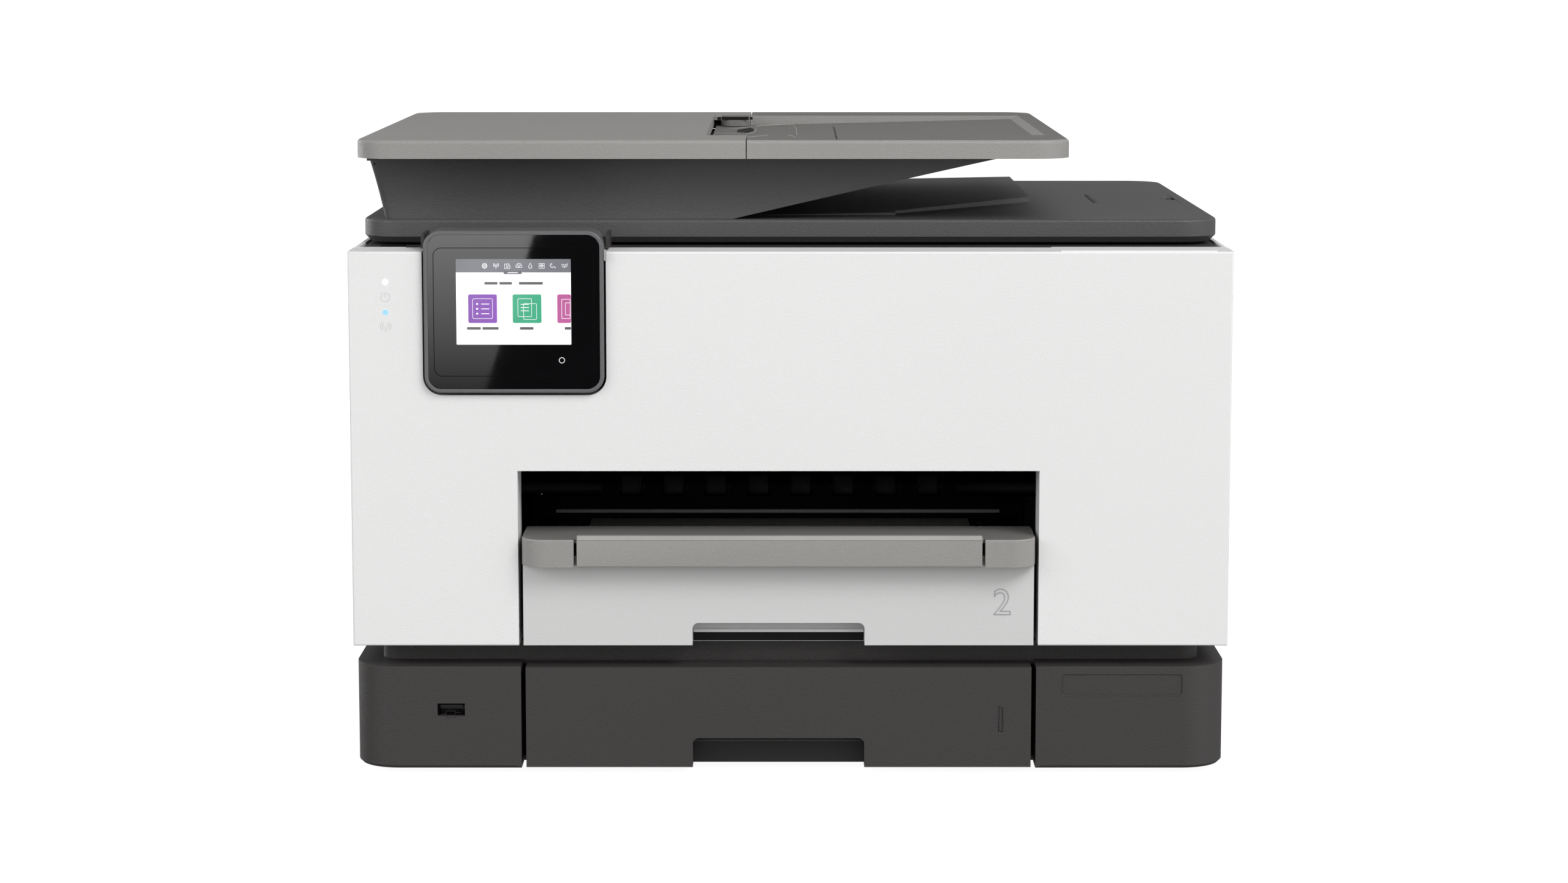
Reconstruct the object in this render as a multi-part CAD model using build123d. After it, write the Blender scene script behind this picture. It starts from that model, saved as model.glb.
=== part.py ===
from build123d import *
import os

# An all-in-one inkjet printer with a document feeder, a tilting touch panel and two paper trays.
# Millimetres. +X is to the right seen from the front, +Y goes to the back and +Z is up.
# The origin is on the floor, in the middle of the footprint.

# ---- driving sizes of the case ----
WIDTH = 437.0
DEPTH = 385.0  # front face of the covers to the back
CAP_PROUD = 11.0  # the output tray stands this far in front of the covers
FOOT_HEIGHT = 3.0
BASE_HEIGHT = 52.0
NECK_HEIGHT = 9.5
COVER_HEIGHT = 197.3
COVER_GAP = 1.0
WALL = 2.5
BASE_RADIUS = 22.0
LEDGE = 20.0  # step from the front of the base back to its neck
NECK_INSET = 12.0
NECK_RADIUS = 10.0

# ---- clearances ----
RUN_FIT = 0.05  # radial, shaft in bore
SEAT_GAP = 0.3  # a piece that rests on or slides along another
PANEL_GAP = 0.5  # between neighbouring covers
BEZEL_TAB = 0.4  # thickness of the tabs beside the bay's front wall

# ---- paper trays ----
TRAY_X = -6.0
TRAY_FRONT_WIDTH = 253.1
TRAY_FRONT_DEPTH = 18.0
TRAY_SIDE_GAP = 2.4
TRAY_BOX_INSET = 12.55  # the front reaches this far past the box on each side
TRAY_LENGTH = 284.0  # behind the front panel
TRAY_WALL = 2.0
NOTCH_WIDTH = 86.0
NOTCH_1_HEIGHT = 14.8
NOTCH_2_HEIGHT = 11.3
NOTCH_DEPTH = 12.0
TRAY_1_BOX_HEIGHT = 42.0
TRAY_2_FRONT_HEIGHT = 40.4
TRAY_2_BOX_HEIGHT = 36.0
GUIDE_ROOM = 6.0  # from the side of the box to the edge of the widest sheet
GUIDE_THICK = 2.5

# ---- front door ----
DOOR_DEPTH = 26.0
DOOR_OPENING = 259.4
DOOR_OPENING_HEIGHT = 88.2
DOOR_EDGE = 1.0
EAR_THICK = 6.0
HINGE_PIN_R = 2.0
DOOR_PIVOT_BACK = 14.0  # behind the front face
DOOR_PIVOT_UP = 5.5  # above the bottom edge of the door

# ---- touch panel ----
TOUCH_X = -136.5
TOUCH_WIDTH = 88.8
TOUCH_HEIGHT = 80.3
TOUCH_DEPTH = 22.0
TOUCH_PROUD = 3.0
TOUCH_RISE = 10.5  # above the top of the covers
TOUCH_RADIUS = 8.4
TOUCH_FRAME = 1.9
GLASS_THICK = 1.0
TOUCH_GAP = 1.0
LCD_WIDTH = 56.8
LCD_HEIGHT = 42.5
LCD_DROP = 13.8  # from the top of the panel
TOUCH_PIVOT_DROP = 6.3
TOUCH_PIVOT_BACK = 16.0

# ---- output tray ----
CAP_WIDTH = 255.6
CAP_THICK = 13.8
CAP_DEPTH = 44.0
CAP_RADIUS = 12.0
BAR_WIDTH = 201.0
BAR_DEPTH = 5.5
BAR_RISE = 1.7
BAR_GAP = 1.5
EXTENDER_THICK = 3.0
EXTENDER_LENGTH = 150.0

# ---- print engine ----
FRAME_INSET = 10.5  # side cover to the frame's side plate
FRAME_PLATE = 2.0
RIB_COUNT = 9
RIB_PITCH = 22.3
RIB_WIDTH = 6.0
ROLLER_WIDTH = 10.0
EJECT_R = 7.0
EJECT_SHAFT_R = 3.0
FEED_R = 6.0
FEED_SHAFT_R = 4.0
ROD_R = 5.0
CARRIAGE_WIDTH = 90.0
CARTRIDGE_COUNT = 4
CARTRIDGE_GAP = 1.0
PULLEY_R = 6.0
BELT_THICK = 1.2
BELT_WIDTH = 6.0
MOTOR_R = 14.0
MOTOR_LENGTH = 34.0

# ---- scanner, lid and feeder ----
SCANNER_HEIGHT = 27.5
WINDOW_LENGTH = 300.0
WINDOW_DEPTH = 218.0
GLASS_PLATE = 3.0
LID_LENGTH = 434.0
LID_FRONT = 48.0  # behind the front face
LID_REAR = 23.0  # in front of the back
LID_BOTTOM_GAP = 0.7
LID_THICK = 11.7
LID_RADIUS = 20.0
LID_CHAMFER = 3.0
FOAM_THICK = 7.0
ADF_FRONT = 34.0
ADF_REAR = 33.0
ADF_RIGHT = 140.6
ADF_SPLIT = -22.1
ADF_LIP = 9.5
ADF_NECK_HEIGHT = 31.3
ADF_RADIUS = 18.0
ADF_NECK_INSET = 9.0
ADF_NECK_BACK = 17.0
ADF_SLOPE_START = -29.5
ADF_SLOPE_END = 104.5
THROAT_LENGTH = 21.0
THROAT_DEPTH = 222.0
FLAP_LENGTH = 44.0
FLAP_WIDTH = 67.0
FLAP_THICK = 3.0
LID_PIVOT_BACK = 18.0  # in front of the back
LID_PIVOT_UP = 6.0
KNUCKLE_R = 4.5
KNUCKLE_PIN_R = 1.5

# ---- places worked out from the sizes above ----
HALF = WIDTH / 2
FRONT_Y = -(DEPTH + CAP_PROUD) / 2 + CAP_PROUD
BACK_Y = FRONT_Y + DEPTH
BASE_TOP = FOOT_HEIGHT + BASE_HEIGHT
NECK_TOP = BASE_TOP + NECK_HEIGHT
COVER_BOTTOM = NECK_TOP + COVER_GAP
COVER_TOP = COVER_BOTTOM + COVER_HEIGHT
FLOOR_TOP = NECK_TOP + WALL
DECK_TOP = COVER_TOP - 0.8
DECK_FLOOR = DECK_TOP - SCANNER_HEIGHT
DECK_HALF = HALF - WALL - COVER_GAP
DOOR_BACK = FRONT_Y + DOOR_DEPTH
BEZEL_BACK = DOOR_BACK + 4.0
FRAME_X = HALF - FRAME_INSET
REAR_PLANE = BACK_Y - 12.0
BAY_HALF = TRAY_FRONT_WIDTH / 2 + TRAY_SIDE_GAP
TRAY_BOX_WIDTH = TRAY_FRONT_WIDTH - 2 * TRAY_BOX_INSET
SHEET_WIDTH = TRAY_BOX_WIDTH - 2 * GUIDE_ROOM
DOOR_OPEN_LEFT = TRAY_X - DOOR_OPENING / 2
DOOR_OPEN_RIGHT = TRAY_X + DOOR_OPENING / 2
DOOR_OPEN_TOP = COVER_BOTTOM + DOOR_OPENING_HEIGHT
DOOR_PIVOT_Y = FRONT_Y + DOOR_PIVOT_BACK
DOOR_PIVOT_TO_BACK = DOOR_DEPTH - DOOR_PIVOT_BACK
# the foot of the door swings back this far
DOOR_HEEL = (DOOR_PIVOT_UP ** 2 + DOOR_PIVOT_TO_BACK ** 2) ** 0.5 - DOOR_PIVOT_TO_BACK
DOOR_PIVOT_Z = COVER_BOTTOM + DOOR_PIVOT_UP
EAR_XS = ((DOOR_OPEN_LEFT - HALF) / 2, (DOOR_OPEN_RIGHT + HALF) / 2)
TOUCH_LEFT = TOUCH_X - TOUCH_WIDTH / 2
TOUCH_RIGHT = TOUCH_X + TOUCH_WIDTH / 2
TOUCH_TOP = COVER_TOP + TOUCH_RISE
TOUCH_BOTTOM = TOUCH_TOP - TOUCH_HEIGHT
TOUCH_FRONT = FRONT_Y - TOUCH_PROUD
TOUCH_PIVOT_Y = TOUCH_FRONT + TOUCH_PIVOT_BACK
TOUCH_PIVOT_Z = TOUCH_TOP - TOUCH_PIVOT_DROP
CAP_BOTTOM = COVER_BOTTOM + TRAY_2_FRONT_HEIGHT + 1.1
CAP_TOP = CAP_BOTTOM + CAP_THICK
CAP_FRONT = FRONT_Y - CAP_PROUD
CAP_BACK = CAP_FRONT + CAP_DEPTH
ROLLER_Y = FRONT_Y + 115.0
ROLLER_Z = CAP_TOP + 7.5
FEED_Y = ROLLER_Y + 52.0
PLATEN_TOP = ROLLER_Z + FEED_R
CARRIAGE_BOTTOM = PLATEN_TOP + 5.0
CARRIAGE_TOP = DECK_FLOOR - 9.0
CARRIAGE_FRONT = ROLLER_Y + 8.0
CARRIAGE_BACK = CARRIAGE_FRONT + 74.0
ROD_Y = CARRIAGE_BACK - 9.0
ROD_Z = CARRIAGE_BOTTOM + 22.0
PLATE_Y = CARRIAGE_BACK + 12.0
BELT_Z = ROD_Z + 30.0
HOME_X = FRAME_X - FRAME_PLATE - 8.0 - CARRIAGE_WIDTH / 2
PULLEY_X = FRAME_X - FRAME_PLATE - MOTOR_R - 4.0
WINDOW_X = -24.0
LID_BACK_Y = BACK_Y - LID_REAR
LID_FRONT_Y = FRONT_Y + LID_FRONT
LID_MID_Y = (LID_FRONT_Y + LID_BACK_Y) / 2
LID_BOTTOM = DECK_TOP + LID_BOTTOM_GAP + 0.8
LID_TOP = LID_BOTTOM + LID_THICK
GLASS_TOP = DECK_TOP - WALL
SCAN_RAIL_Z = DECK_FLOOR + 9.5
SCAN_RAIL_R = 4.0
SCAN_HOME_X = WINDOW_X - WINDOW_LENGTH / 2 - 20.0
ADF_BOTTOM = LID_TOP
ADF_DECK = ADF_BOTTOM + ADF_NECK_HEIGHT
ADF_TOP = ADF_DECK + ADF_LIP
ADF_FRONT_Y = FRONT_Y + ADF_FRONT
ADF_BACK_Y = BACK_Y - ADF_REAR
ADF_MID_Y = (ADF_FRONT_Y + ADF_BACK_Y) / 2
ADF_NECK_FRONT = ADF_FRONT_Y + ADF_NECK_BACK
ADF_NECK_REAR = ADF_BACK_Y - 6.0
COVER_PIVOT_X = -HALF + 5.5
COVER_PIVOT_Z = ADF_DECK + 2.6
COVER_PIN_R = 1.0
COVER_EAR_YS = (ADF_NECK_FRONT + 14, ADF_NECK_REAR - 14)
FLAP_LEFT = HALF - 52.5
FLAP_Y = LID_MID_Y - 1.5
LID_PIVOT_Y = BACK_Y - LID_PIVOT_BACK
LID_PIVOT_Z = DECK_TOP + LID_PIVOT_UP


# ---- shapes that repeat ----
def block(x0, x1, y0, y1, z0, z1):
    """A box between two corners."""
    return Pos((x0 + x1) / 2, (y0 + y1) / 2, (z0 + z1) / 2) * Box(x1 - x0, y1 - y0, z1 - z0)


def rounded_z(x0, x1, y0, y1, z0, z1, radius):
    """A box with its four upright edges rounded."""
    return fillet(block(x0, x1, y0, y1, z0, z1).edges().filter_by(Axis.Z), radius)


def rounded_y(x0, x1, y0, y1, z0, z1, radius):
    """A box with the four edges that run front to back rounded."""
    return fillet(block(x0, x1, y0, y1, z0, z1).edges().filter_by(Axis.Y), radius)


def rod_x(x0, x1, y, z, radius):
    """A round bar along X."""
    return Pos((x0 + x1) / 2, y, z) * Rot(0, 90, 0) * Cylinder(radius, x1 - x0)


def rod_y(x, y0, y1, z, radius):
    """A round bar along Y."""
    return Pos(x, (y0 + y1) / 2, z) * Rot(90, 0, 0) * Cylinder(radius, y1 - y0)


def rod_z(x, y, z0, z1, radius):
    """A round bar along Z."""
    return Pos(x, y, (z0 + z1) / 2) * Cylinder(radius, z1 - z0)


def prism_x(points, x0, x1):
    """An outline of (y, z) points carried from x0 to x1."""
    return extrude(Plane.YZ.offset(x0) * Polygon(*points, align=None), x1 - x0)


def prism_y(points, y0, y1):
    """An outline of (x, z) points carried from y0 to y1."""
    return extrude(Plane.XZ.offset(-y1) * Polygon(*points, align=None), y1 - y0)


def group(pieces):
    """Separate solids that belong to one node."""
    return Compound([solid for piece in pieces for solid in piece.solids()])


def keep(name, shape):
    """Write one node."""
    export_step(shape, f"parts/{name}.step")


# ---- base ----
USB_X = -HALF + 48.5
USB_Z = BASE_TOP - 22.0
USB_WIDTH = 13.8
USB_HEIGHT = 6.3
PLATE_WIDTH = 60.5
PLATE_HEIGHT = 11.2
PLATE_X = HALF - 52.5


def hinge_ear(x):
    """An upright on the neck that holds one hinge pin of the front door."""
    front = FRONT_Y + LEDGE
    x0 = x - EAR_THICK / 2
    x1 = x + EAR_THICK / 2
    root = block(x0, x1, front, front + WALL, BASE_TOP, DOOR_PIVOT_Z)
    arm = block(x0, x1, DOOR_PIVOT_Y, front + WALL, DOOR_PIVOT_Z - 4.5, DOOR_PIVOT_Z + 4.5)
    eye = rod_x(x0, x1, DOOR_PIVOT_Y, DOOR_PIVOT_Z, 4.5)
    return root + arm + eye - rod_x(x0 - 1, x1 + 1, DOOR_PIVOT_Y, DOOR_PIVOT_Z, HINGE_PIN_R + RUN_FIT)


def base_housing():
    """The dark tub under the printer, open at the front for the lower tray, with a set-back neck."""
    tub = rounded_z(-HALF, HALF, FRONT_Y, BACK_Y, FOOT_HEIGHT, BASE_TOP, BASE_RADIUS)
    tub = chamfer(tub.faces().sort_by(Axis.Z)[0].edges(), 1.5)
    hollow = rounded_z(-HALF + WALL, HALF - WALL, FRONT_Y + WALL, BACK_Y - WALL,
                       FOOT_HEIGHT + WALL, BASE_TOP - WALL, BASE_RADIUS - WALL)
    neck = rounded_z(-HALF + NECK_INSET, HALF - NECK_INSET, FRONT_Y + LEDGE, BACK_Y - NECK_INSET,
                     BASE_TOP - WALL, NECK_TOP, NECK_RADIUS)
    inset = NECK_INSET + WALL
    neck_hollow = rounded_z(-HALF + inset, HALF - inset, FRONT_Y + LEDGE + WALL, BACK_Y - inset,
                            BASE_TOP - WALL - 1, NECK_TOP + 1, NECK_RADIUS - WALL)
    base = tub - hollow + neck - neck_hollow
    for side in (-1, 1):
        x = TRAY_X + side * (BAY_HALF + WALL / 2)
        base += block(x - WALL / 2, x + WALL / 2, FRONT_Y, FRONT_Y + TRAY_LENGTH + 30, FOOT_HEIGHT + 1,
                      BASE_TOP - WALL)
    gap_back = FRONT_Y + LEDGE - 1
    base -= block(TRAY_X - BAY_HALF, TRAY_X + BAY_HALF, FRONT_Y - 1, gap_back, FOOT_HEIGHT - 1, BASE_TOP + 1)
    base -= block(USB_X - USB_WIDTH / 2, USB_X + USB_WIDTH / 2, FRONT_Y - 1, FRONT_Y + WALL + 1,
                  USB_Z - USB_HEIGHT / 2, USB_Z + USB_HEIGHT / 2)
    plate_z = BASE_TOP - 9.3
    base -= rounded_y(PLATE_X - PLATE_WIDTH / 2, PLATE_X + PLATE_WIDTH / 2, FRONT_Y - 1, FRONT_Y + 0.6,
                      plate_z - PLATE_HEIGHT / 2, plate_z + PLATE_HEIGHT / 2, 2.4)
    for x in EAR_XS:
        base += hinge_ear(x)
    return base


def rubber_feet():
    """Four round feet under the corners of the base."""
    feet = []
    for x in (-HALF + 36, HALF - 36):
        for y in (FRONT_Y + 40, BACK_Y - 36):
            feet.append(rod_z(x, y, 0, FOOT_HEIGHT, 8.0))
    return group(feet)


def front_usb_port():
    """The metal shell and tongue of the front socket."""
    depth = 16.0
    back = FRONT_Y + WALL + depth
    half = USB_WIDTH / 2
    shell = block(USB_X - half - 0.6, USB_X + half + 0.6, FRONT_Y + WALL, back,
                  USB_Z - USB_HEIGHT / 2 - 0.6, USB_Z + USB_HEIGHT / 2 + 0.6)
    shell -= block(USB_X - half, USB_X + half, FRONT_Y, back - 1.5, USB_Z - USB_HEIGHT / 2,
                   USB_Z + USB_HEIGHT / 2)
    tongue = block(USB_X - half + 1.2, USB_X + half - 1.2, FRONT_Y + WALL + 1, back - 1, USB_Z, USB_Z + 1.8)
    stand = block(USB_X - 4, USB_X + 4, FRONT_Y + WALL + 4, back, FOOT_HEIGHT + WALL,
                  USB_Z - USB_HEIGHT / 2 - 0.6)
    return shell + tongue + stand


# ---- paper trays ----
def paper_tray(front_width, z_front, front_height, notch_height, z_box, box_height):
    """A drawer: a front panel with a finger notch, and an open box behind it."""
    half = front_width / 2
    back = FRONT_Y + TRAY_FRONT_DEPTH
    front = block(TRAY_X - half, TRAY_X + half, FRONT_Y, back, z_front, z_front + front_height)
    front -= block(TRAY_X - half + WALL, TRAY_X + half - WALL, FRONT_Y + NOTCH_DEPTH + WALL, back + 1,
                   z_front + WALL, z_front + front_height - WALL)
    front -= rounded_y(TRAY_X - NOTCH_WIDTH / 2, TRAY_X + NOTCH_WIDTH / 2, FRONT_Y - 1, FRONT_Y + NOTCH_DEPTH,
                       z_front - 4, z_front + notch_height, 3.0)
    box_half = TRAY_BOX_WIDTH / 2
    start = FRONT_Y + NOTCH_DEPTH + WALL
    box = block(TRAY_X - box_half, TRAY_X + box_half, start, back + TRAY_LENGTH, z_box, z_box + box_height)
    box -= block(TRAY_X - box_half + TRAY_WALL, TRAY_X + box_half - TRAY_WALL, start + TRAY_WALL,
                 back + TRAY_LENGTH - TRAY_WALL, z_box + TRAY_WALL, z_box + box_height + 1)
    front -= block(TRAY_X - box_half, TRAY_X + box_half, start, back + 1, z_box,
                   z_front + front_height - WALL)
    return front + box


def width_guide(side, z_floor, height):
    """One of the pair of fins that centre the paper: an upright on a flat foot."""
    x = TRAY_X + side * (SHEET_WIDTH / 2 + 1)
    y = FRONT_Y + 150
    fin = block(min(x, x + side * GUIDE_THICK), max(x, x + side * GUIDE_THICK), y - 45, y + 45, z_floor,
                z_floor + height)
    inner = x - side * 22
    return fin + block(min(x, inner), max(x, inner), y - 14, y + 14, z_floor, z_floor + 1.5)


def length_guide(z_floor, height):
    """The fin that stops the near end of the paper."""
    y = FRONT_Y + TRAY_FRONT_DEPTH + 4
    fin = block(TRAY_X - 32, TRAY_X + 32, y, y + GUIDE_THICK, z_floor, z_floor + height)
    return fin + block(TRAY_X - 12, TRAY_X + 12, y, y + 26, z_floor, z_floor + 1.5)


def tray_set(number, front_width, z_front, front_height, notch_height, z_box, box_height):
    """One tray with its three guides."""
    keep(f"tray_{number}", paper_tray(front_width, z_front, front_height, notch_height, z_box, box_height))
    z_floor = z_box + TRAY_WALL + SEAT_GAP
    keep(f"tray_{number}_guide_left", width_guide(-1, z_floor, box_height - 8))
    keep(f"tray_{number}_guide_right", width_guide(1, z_floor, box_height - 8))
    keep(f"tray_{number}_length_guide", length_guide(z_floor, box_height - 12))


# ---- inner frame and covers ----
def inner_frame():
    """The chassis: a floor on the neck, two side plates, a back plate and the walls of the upper tray bay."""
    edge = HALF - NECK_INSET
    frame = block(-edge, edge, BEZEL_BACK, REAR_PLANE, NECK_TOP, FLOOR_TOP)
    for side in (-1, 1):
        outer = side * FRAME_X
        inner = side * (FRAME_X - FRAME_PLATE)
        plate = block(min(outer, inner), max(outer, inner), BEZEL_BACK, REAR_PLANE, FLOOR_TOP, DECK_FLOOR)
        foot = block(min(side * edge, outer), max(side * edge, outer), BEZEL_BACK, REAR_PLANE, NECK_TOP,
                     FLOOR_TOP)
        frame += plate
        frame += foot
        bay = TRAY_X + side * BAY_HALF
        wall = bay + side * FRAME_PLATE
        frame += block(min(bay, wall), max(bay, wall), BEZEL_BACK, FRONT_Y + TRAY_LENGTH + 30, FLOOR_TOP,
                       CAP_BOTTOM)
    reach = FRAME_X - FRAME_PLATE
    frame += block(-reach, reach, PLATE_Y, PLATE_Y + FRAME_PLATE, CAP_TOP, DECK_FLOOR)
    for y, z, radius in ((ROD_Y, ROD_Z, ROD_R), (ROLLER_Y, ROLLER_Z, EJECT_SHAFT_R),
                         (FEED_Y, ROLLER_Z, FEED_SHAFT_R)):
        frame -= rod_x(-HALF, HALF, y, z, radius + RUN_FIT)
    frame -= rod_y(PULLEY_X, PLATE_Y - 1, PLATE_Y + FRAME_PLATE + 1, BELT_Z, 3.0)
    frame -= rod_y(-PULLEY_X, PLATE_Y - 1, PLATE_Y + FRAME_PLATE + 1, BELT_Z, KNUCKLE_PIN_R)
    frame -= rod_x(-HALF, 0, PLATE_Y + 40, FLOOR_TOP + 60, 3.0)
    return frame


FLANGE_TOP_LENGTH = 88.0


def side_cover(side):
    """A white side skin with a return at the front and bosses that reach the chassis."""
    outer = side * HALF
    inner = side * (HALF - WALL)
    end = REAR_PLANE + 1.2
    front = DOOR_BACK + DOOR_HEEL + 2 * SEAT_GAP
    back = BEZEL_BACK - BEZEL_TAB - 0.1
    skin = block(min(outer, inner), max(outer, inner), front, end, COVER_BOTTOM, COVER_TOP)
    lip = side * (HALF - 26)
    skin += block(min(outer, lip), max(outer, lip), front, back, COVER_BOTTOM, COVER_TOP)
    reach = side * (HALF - FLANGE_TOP_LENGTH) if side > 0 else lip
    skin += block(min(outer, reach), max(outer, reach), front, back, DECK_FLOOR + 2, COVER_TOP)
    for y in (BEZEL_BACK + 25, REAR_PLANE - 25):
        for z in (COVER_BOTTOM + 25, DECK_FLOOR - 25):
            near = side * (FRAME_X + SEAT_GAP)
            skin += rod_x(min(near, inner), max(near, inner), y, z, 4.0)
    edges = skin.edges().filter_by(Axis.Y).filter_by(lambda e: abs(abs(e.center().X) - HALF) < 0.01)
    return chamfer(edges, DOOR_EDGE / 2)


REAR_DOOR_HALF = 112.0
REAR_DOOR_BOTTOM = COVER_BOTTOM + 25.0
REAR_DOOR_HEIGHT = 112.0
REAR_PIVOT_Y = BACK_Y - 2.5
REAR_PIVOT_Z = REAR_DOOR_BOTTOM + 2.5
INLET_X = HALF - 46.0
INLET_HALF = 12.0
INLET_Z = FLOOR_TOP + 13.0
PORTS_X = -HALF + 43.0
PORTS_HALF = 26.0


def rear_cover():
    """The back skin, with the opening for the access door, vents, the inlet and the sockets."""
    front = REAR_PLANE + 1.5
    cover = rounded_z(-HALF, HALF, front, BACK_Y, COVER_BOTTOM, COVER_TOP, 4.0)
    cover -= block(-HALF - 1, HALF + 1, front - 1, front + 4.5, COVER_BOTTOM - 1, COVER_TOP + 1)
    cover += block(-HALF, HALF, front, front + 5, COVER_BOTTOM, COVER_TOP)
    hollow = block(-HALF + WALL, HALF - WALL, front - 1, BACK_Y - WALL, COVER_BOTTOM + WALL, COVER_TOP - WALL)
    rim = block(-REAR_DOOR_HALF - WALL, REAR_DOOR_HALF + WALL, front, BACK_Y,
                REAR_DOOR_BOTTOM - 1.5 - WALL, REAR_DOOR_BOTTOM + REAR_DOOR_HEIGHT + PANEL_GAP + WALL)
    cover -= hollow - rim
    cover -= block(-REAR_DOOR_HALF, REAR_DOOR_HALF, front - 1, BACK_Y + 1,
                   REAR_DOOR_BOTTOM - 1.5, REAR_DOOR_BOTTOM + REAR_DOOR_HEIGHT + PANEL_GAP)
    cover -= rod_x(-REAR_DOOR_HALF - 2, REAR_DOOR_HALF + 2, REAR_PIVOT_Y, REAR_PIVOT_Z,
                   KNUCKLE_PIN_R + RUN_FIT)
    for i in range(8):
        x = HALF - 90 + i * 8
        cover -= rounded_y(x, x + 4, BACK_Y - WALL - 1, BACK_Y + 1, COVER_TOP - 70, COVER_TOP - 30, 1.5)
    cover -= block(INLET_X - INLET_HALF - SEAT_GAP, INLET_X + INLET_HALF + SEAT_GAP, BACK_Y - WALL - 1,
                   BACK_Y + 1,
                   INLET_Z - 8 - SEAT_GAP, INLET_Z + 8 + SEAT_GAP)
    cover -= block(PORTS_X - PORTS_HALF - SEAT_GAP, PORTS_X + PORTS_HALF + SEAT_GAP, BACK_Y - WALL - 1,
                   BACK_Y + 1,
                   INLET_Z - 8 - SEAT_GAP, INLET_Z + 8 + SEAT_GAP)
    for x, z in screw_places():
        cover += rod_y(x, REAR_PLANE + SEAT_GAP, BACK_Y - WALL, z, 4.0)
        cover -= rod_y(x, REAR_PLANE, BACK_Y + 1, z, 1.6)
        cover -= rod_y(x, BACK_Y - 2, BACK_Y + 1, z, 3.3)
    return cover


def screw_places():
    """Where the case screws go in, on the ends of the chassis plates."""
    x = FRAME_X - FRAME_PLATE / 2
    return [(side * x, z) for side in (-1, 1) for z in (COVER_BOTTOM + 40, DECK_FLOOR - 12)]


def case_screws():
    """The screws that hold the back skin."""
    screws = []
    for x, z in screw_places():
        screws.append(rod_y(x, BACK_Y - 2, BACK_Y - 0.3, z, 3.0) + rod_y(x, REAR_PLANE + 0.5, BACK_Y - 2, z,
                                                                         1.5))
    return group(screws)


def rear_door():
    """The access door at the back, turning on stub pins at its lower edge."""
    half = REAR_DOOR_HALF - PANEL_GAP
    door = block(-half, half, BACK_Y - 3, BACK_Y, REAR_PIVOT_Z, REAR_DOOR_BOTTOM + REAR_DOOR_HEIGHT)
    door += rod_x(-half, half, REAR_PIVOT_Y, REAR_PIVOT_Z, 2.5)
    door += rod_x(-REAR_DOOR_HALF - 1.6, REAR_DOOR_HALF + 1.6, REAR_PIVOT_Y, REAR_PIVOT_Z, KNUCKLE_PIN_R)
    top = REAR_DOOR_BOTTOM + REAR_DOOR_HEIGHT
    door -= rounded_y(-18, 18, BACK_Y - 1.6, BACK_Y + 1, top - 14, top + 8, 5.0)
    for x in (-80, -40, 0, 40, 80):
        door += block(x - 1, x + 1, BACK_Y - 8, BACK_Y - 3, REAR_PIVOT_Z + 12, top - 16)
    return door


def access_bezel():
    """The dark front wall of the engine bay, behind the front door."""
    edge = HALF - 27.0
    y0 = BEZEL_BACK - WALL
    bezel = block(-edge, edge, y0, BEZEL_BACK, CAP_BOTTOM, DECK_FLOOR)
    bezel += block(edge - 1, FRAME_X, BEZEL_BACK - BEZEL_TAB, BEZEL_BACK, DOOR_OPEN_TOP + 8, DECK_FLOOR - 2)
    bezel += block(-FRAME_X, -edge + 1, BEZEL_BACK - BEZEL_TAB, BEZEL_BACK, DOOR_OPEN_TOP + 8, DECK_FLOOR - 2)
    bezel -= block(DOOR_OPEN_LEFT, DOOR_OPEN_RIGHT, y0 - 1, BEZEL_BACK + 1, CAP_BOTTOM - 1, DOOR_OPEN_TOP)
    bezel -= block(-edge + 60, edge - 6, y0 - 1, BEZEL_BACK + 1, DOOR_OPEN_TOP + 6, DECK_FLOOR - 6)
    return bezel


# ---- front door ----
def door_opening(extra):
    """The space around the trays, grown by extra."""
    return block(DOOR_OPEN_LEFT - extra, DOOR_OPEN_RIGHT + extra, FRONT_Y - 1, DOOR_BACK + 1,
                 COVER_BOTTOM - 5, DOOR_OPEN_TOP + extra)


def door_notch(extra):
    """The space that the touch panel hangs in, grown by extra."""
    grow = TOUCH_GAP + extra
    return rounded_y(TOUCH_LEFT - grow, TOUCH_RIGHT + grow, FRONT_Y - 1, DOOR_BACK + 1,
                     TOUCH_BOTTOM - TOUCH_GAP - 0.4 - extra, TOUCH_TOP + 20, TOUCH_RADIUS + 1 + extra)


def ear_slot(x):
    """Room for a hinge ear in the foot of the door."""
    half = EAR_THICK / 2 + 1
    return block(x - half, x + half, DOOR_PIVOT_Y - 5.5, DOOR_BACK + 1, COVER_BOTTOM - 1, DOOR_PIVOT_Z + 6)


LED_ZS = (COVER_TOP - 15.0, COVER_TOP - 30.0)
LED_X = -HALF + 18.5
LED_R = 1.5


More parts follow.
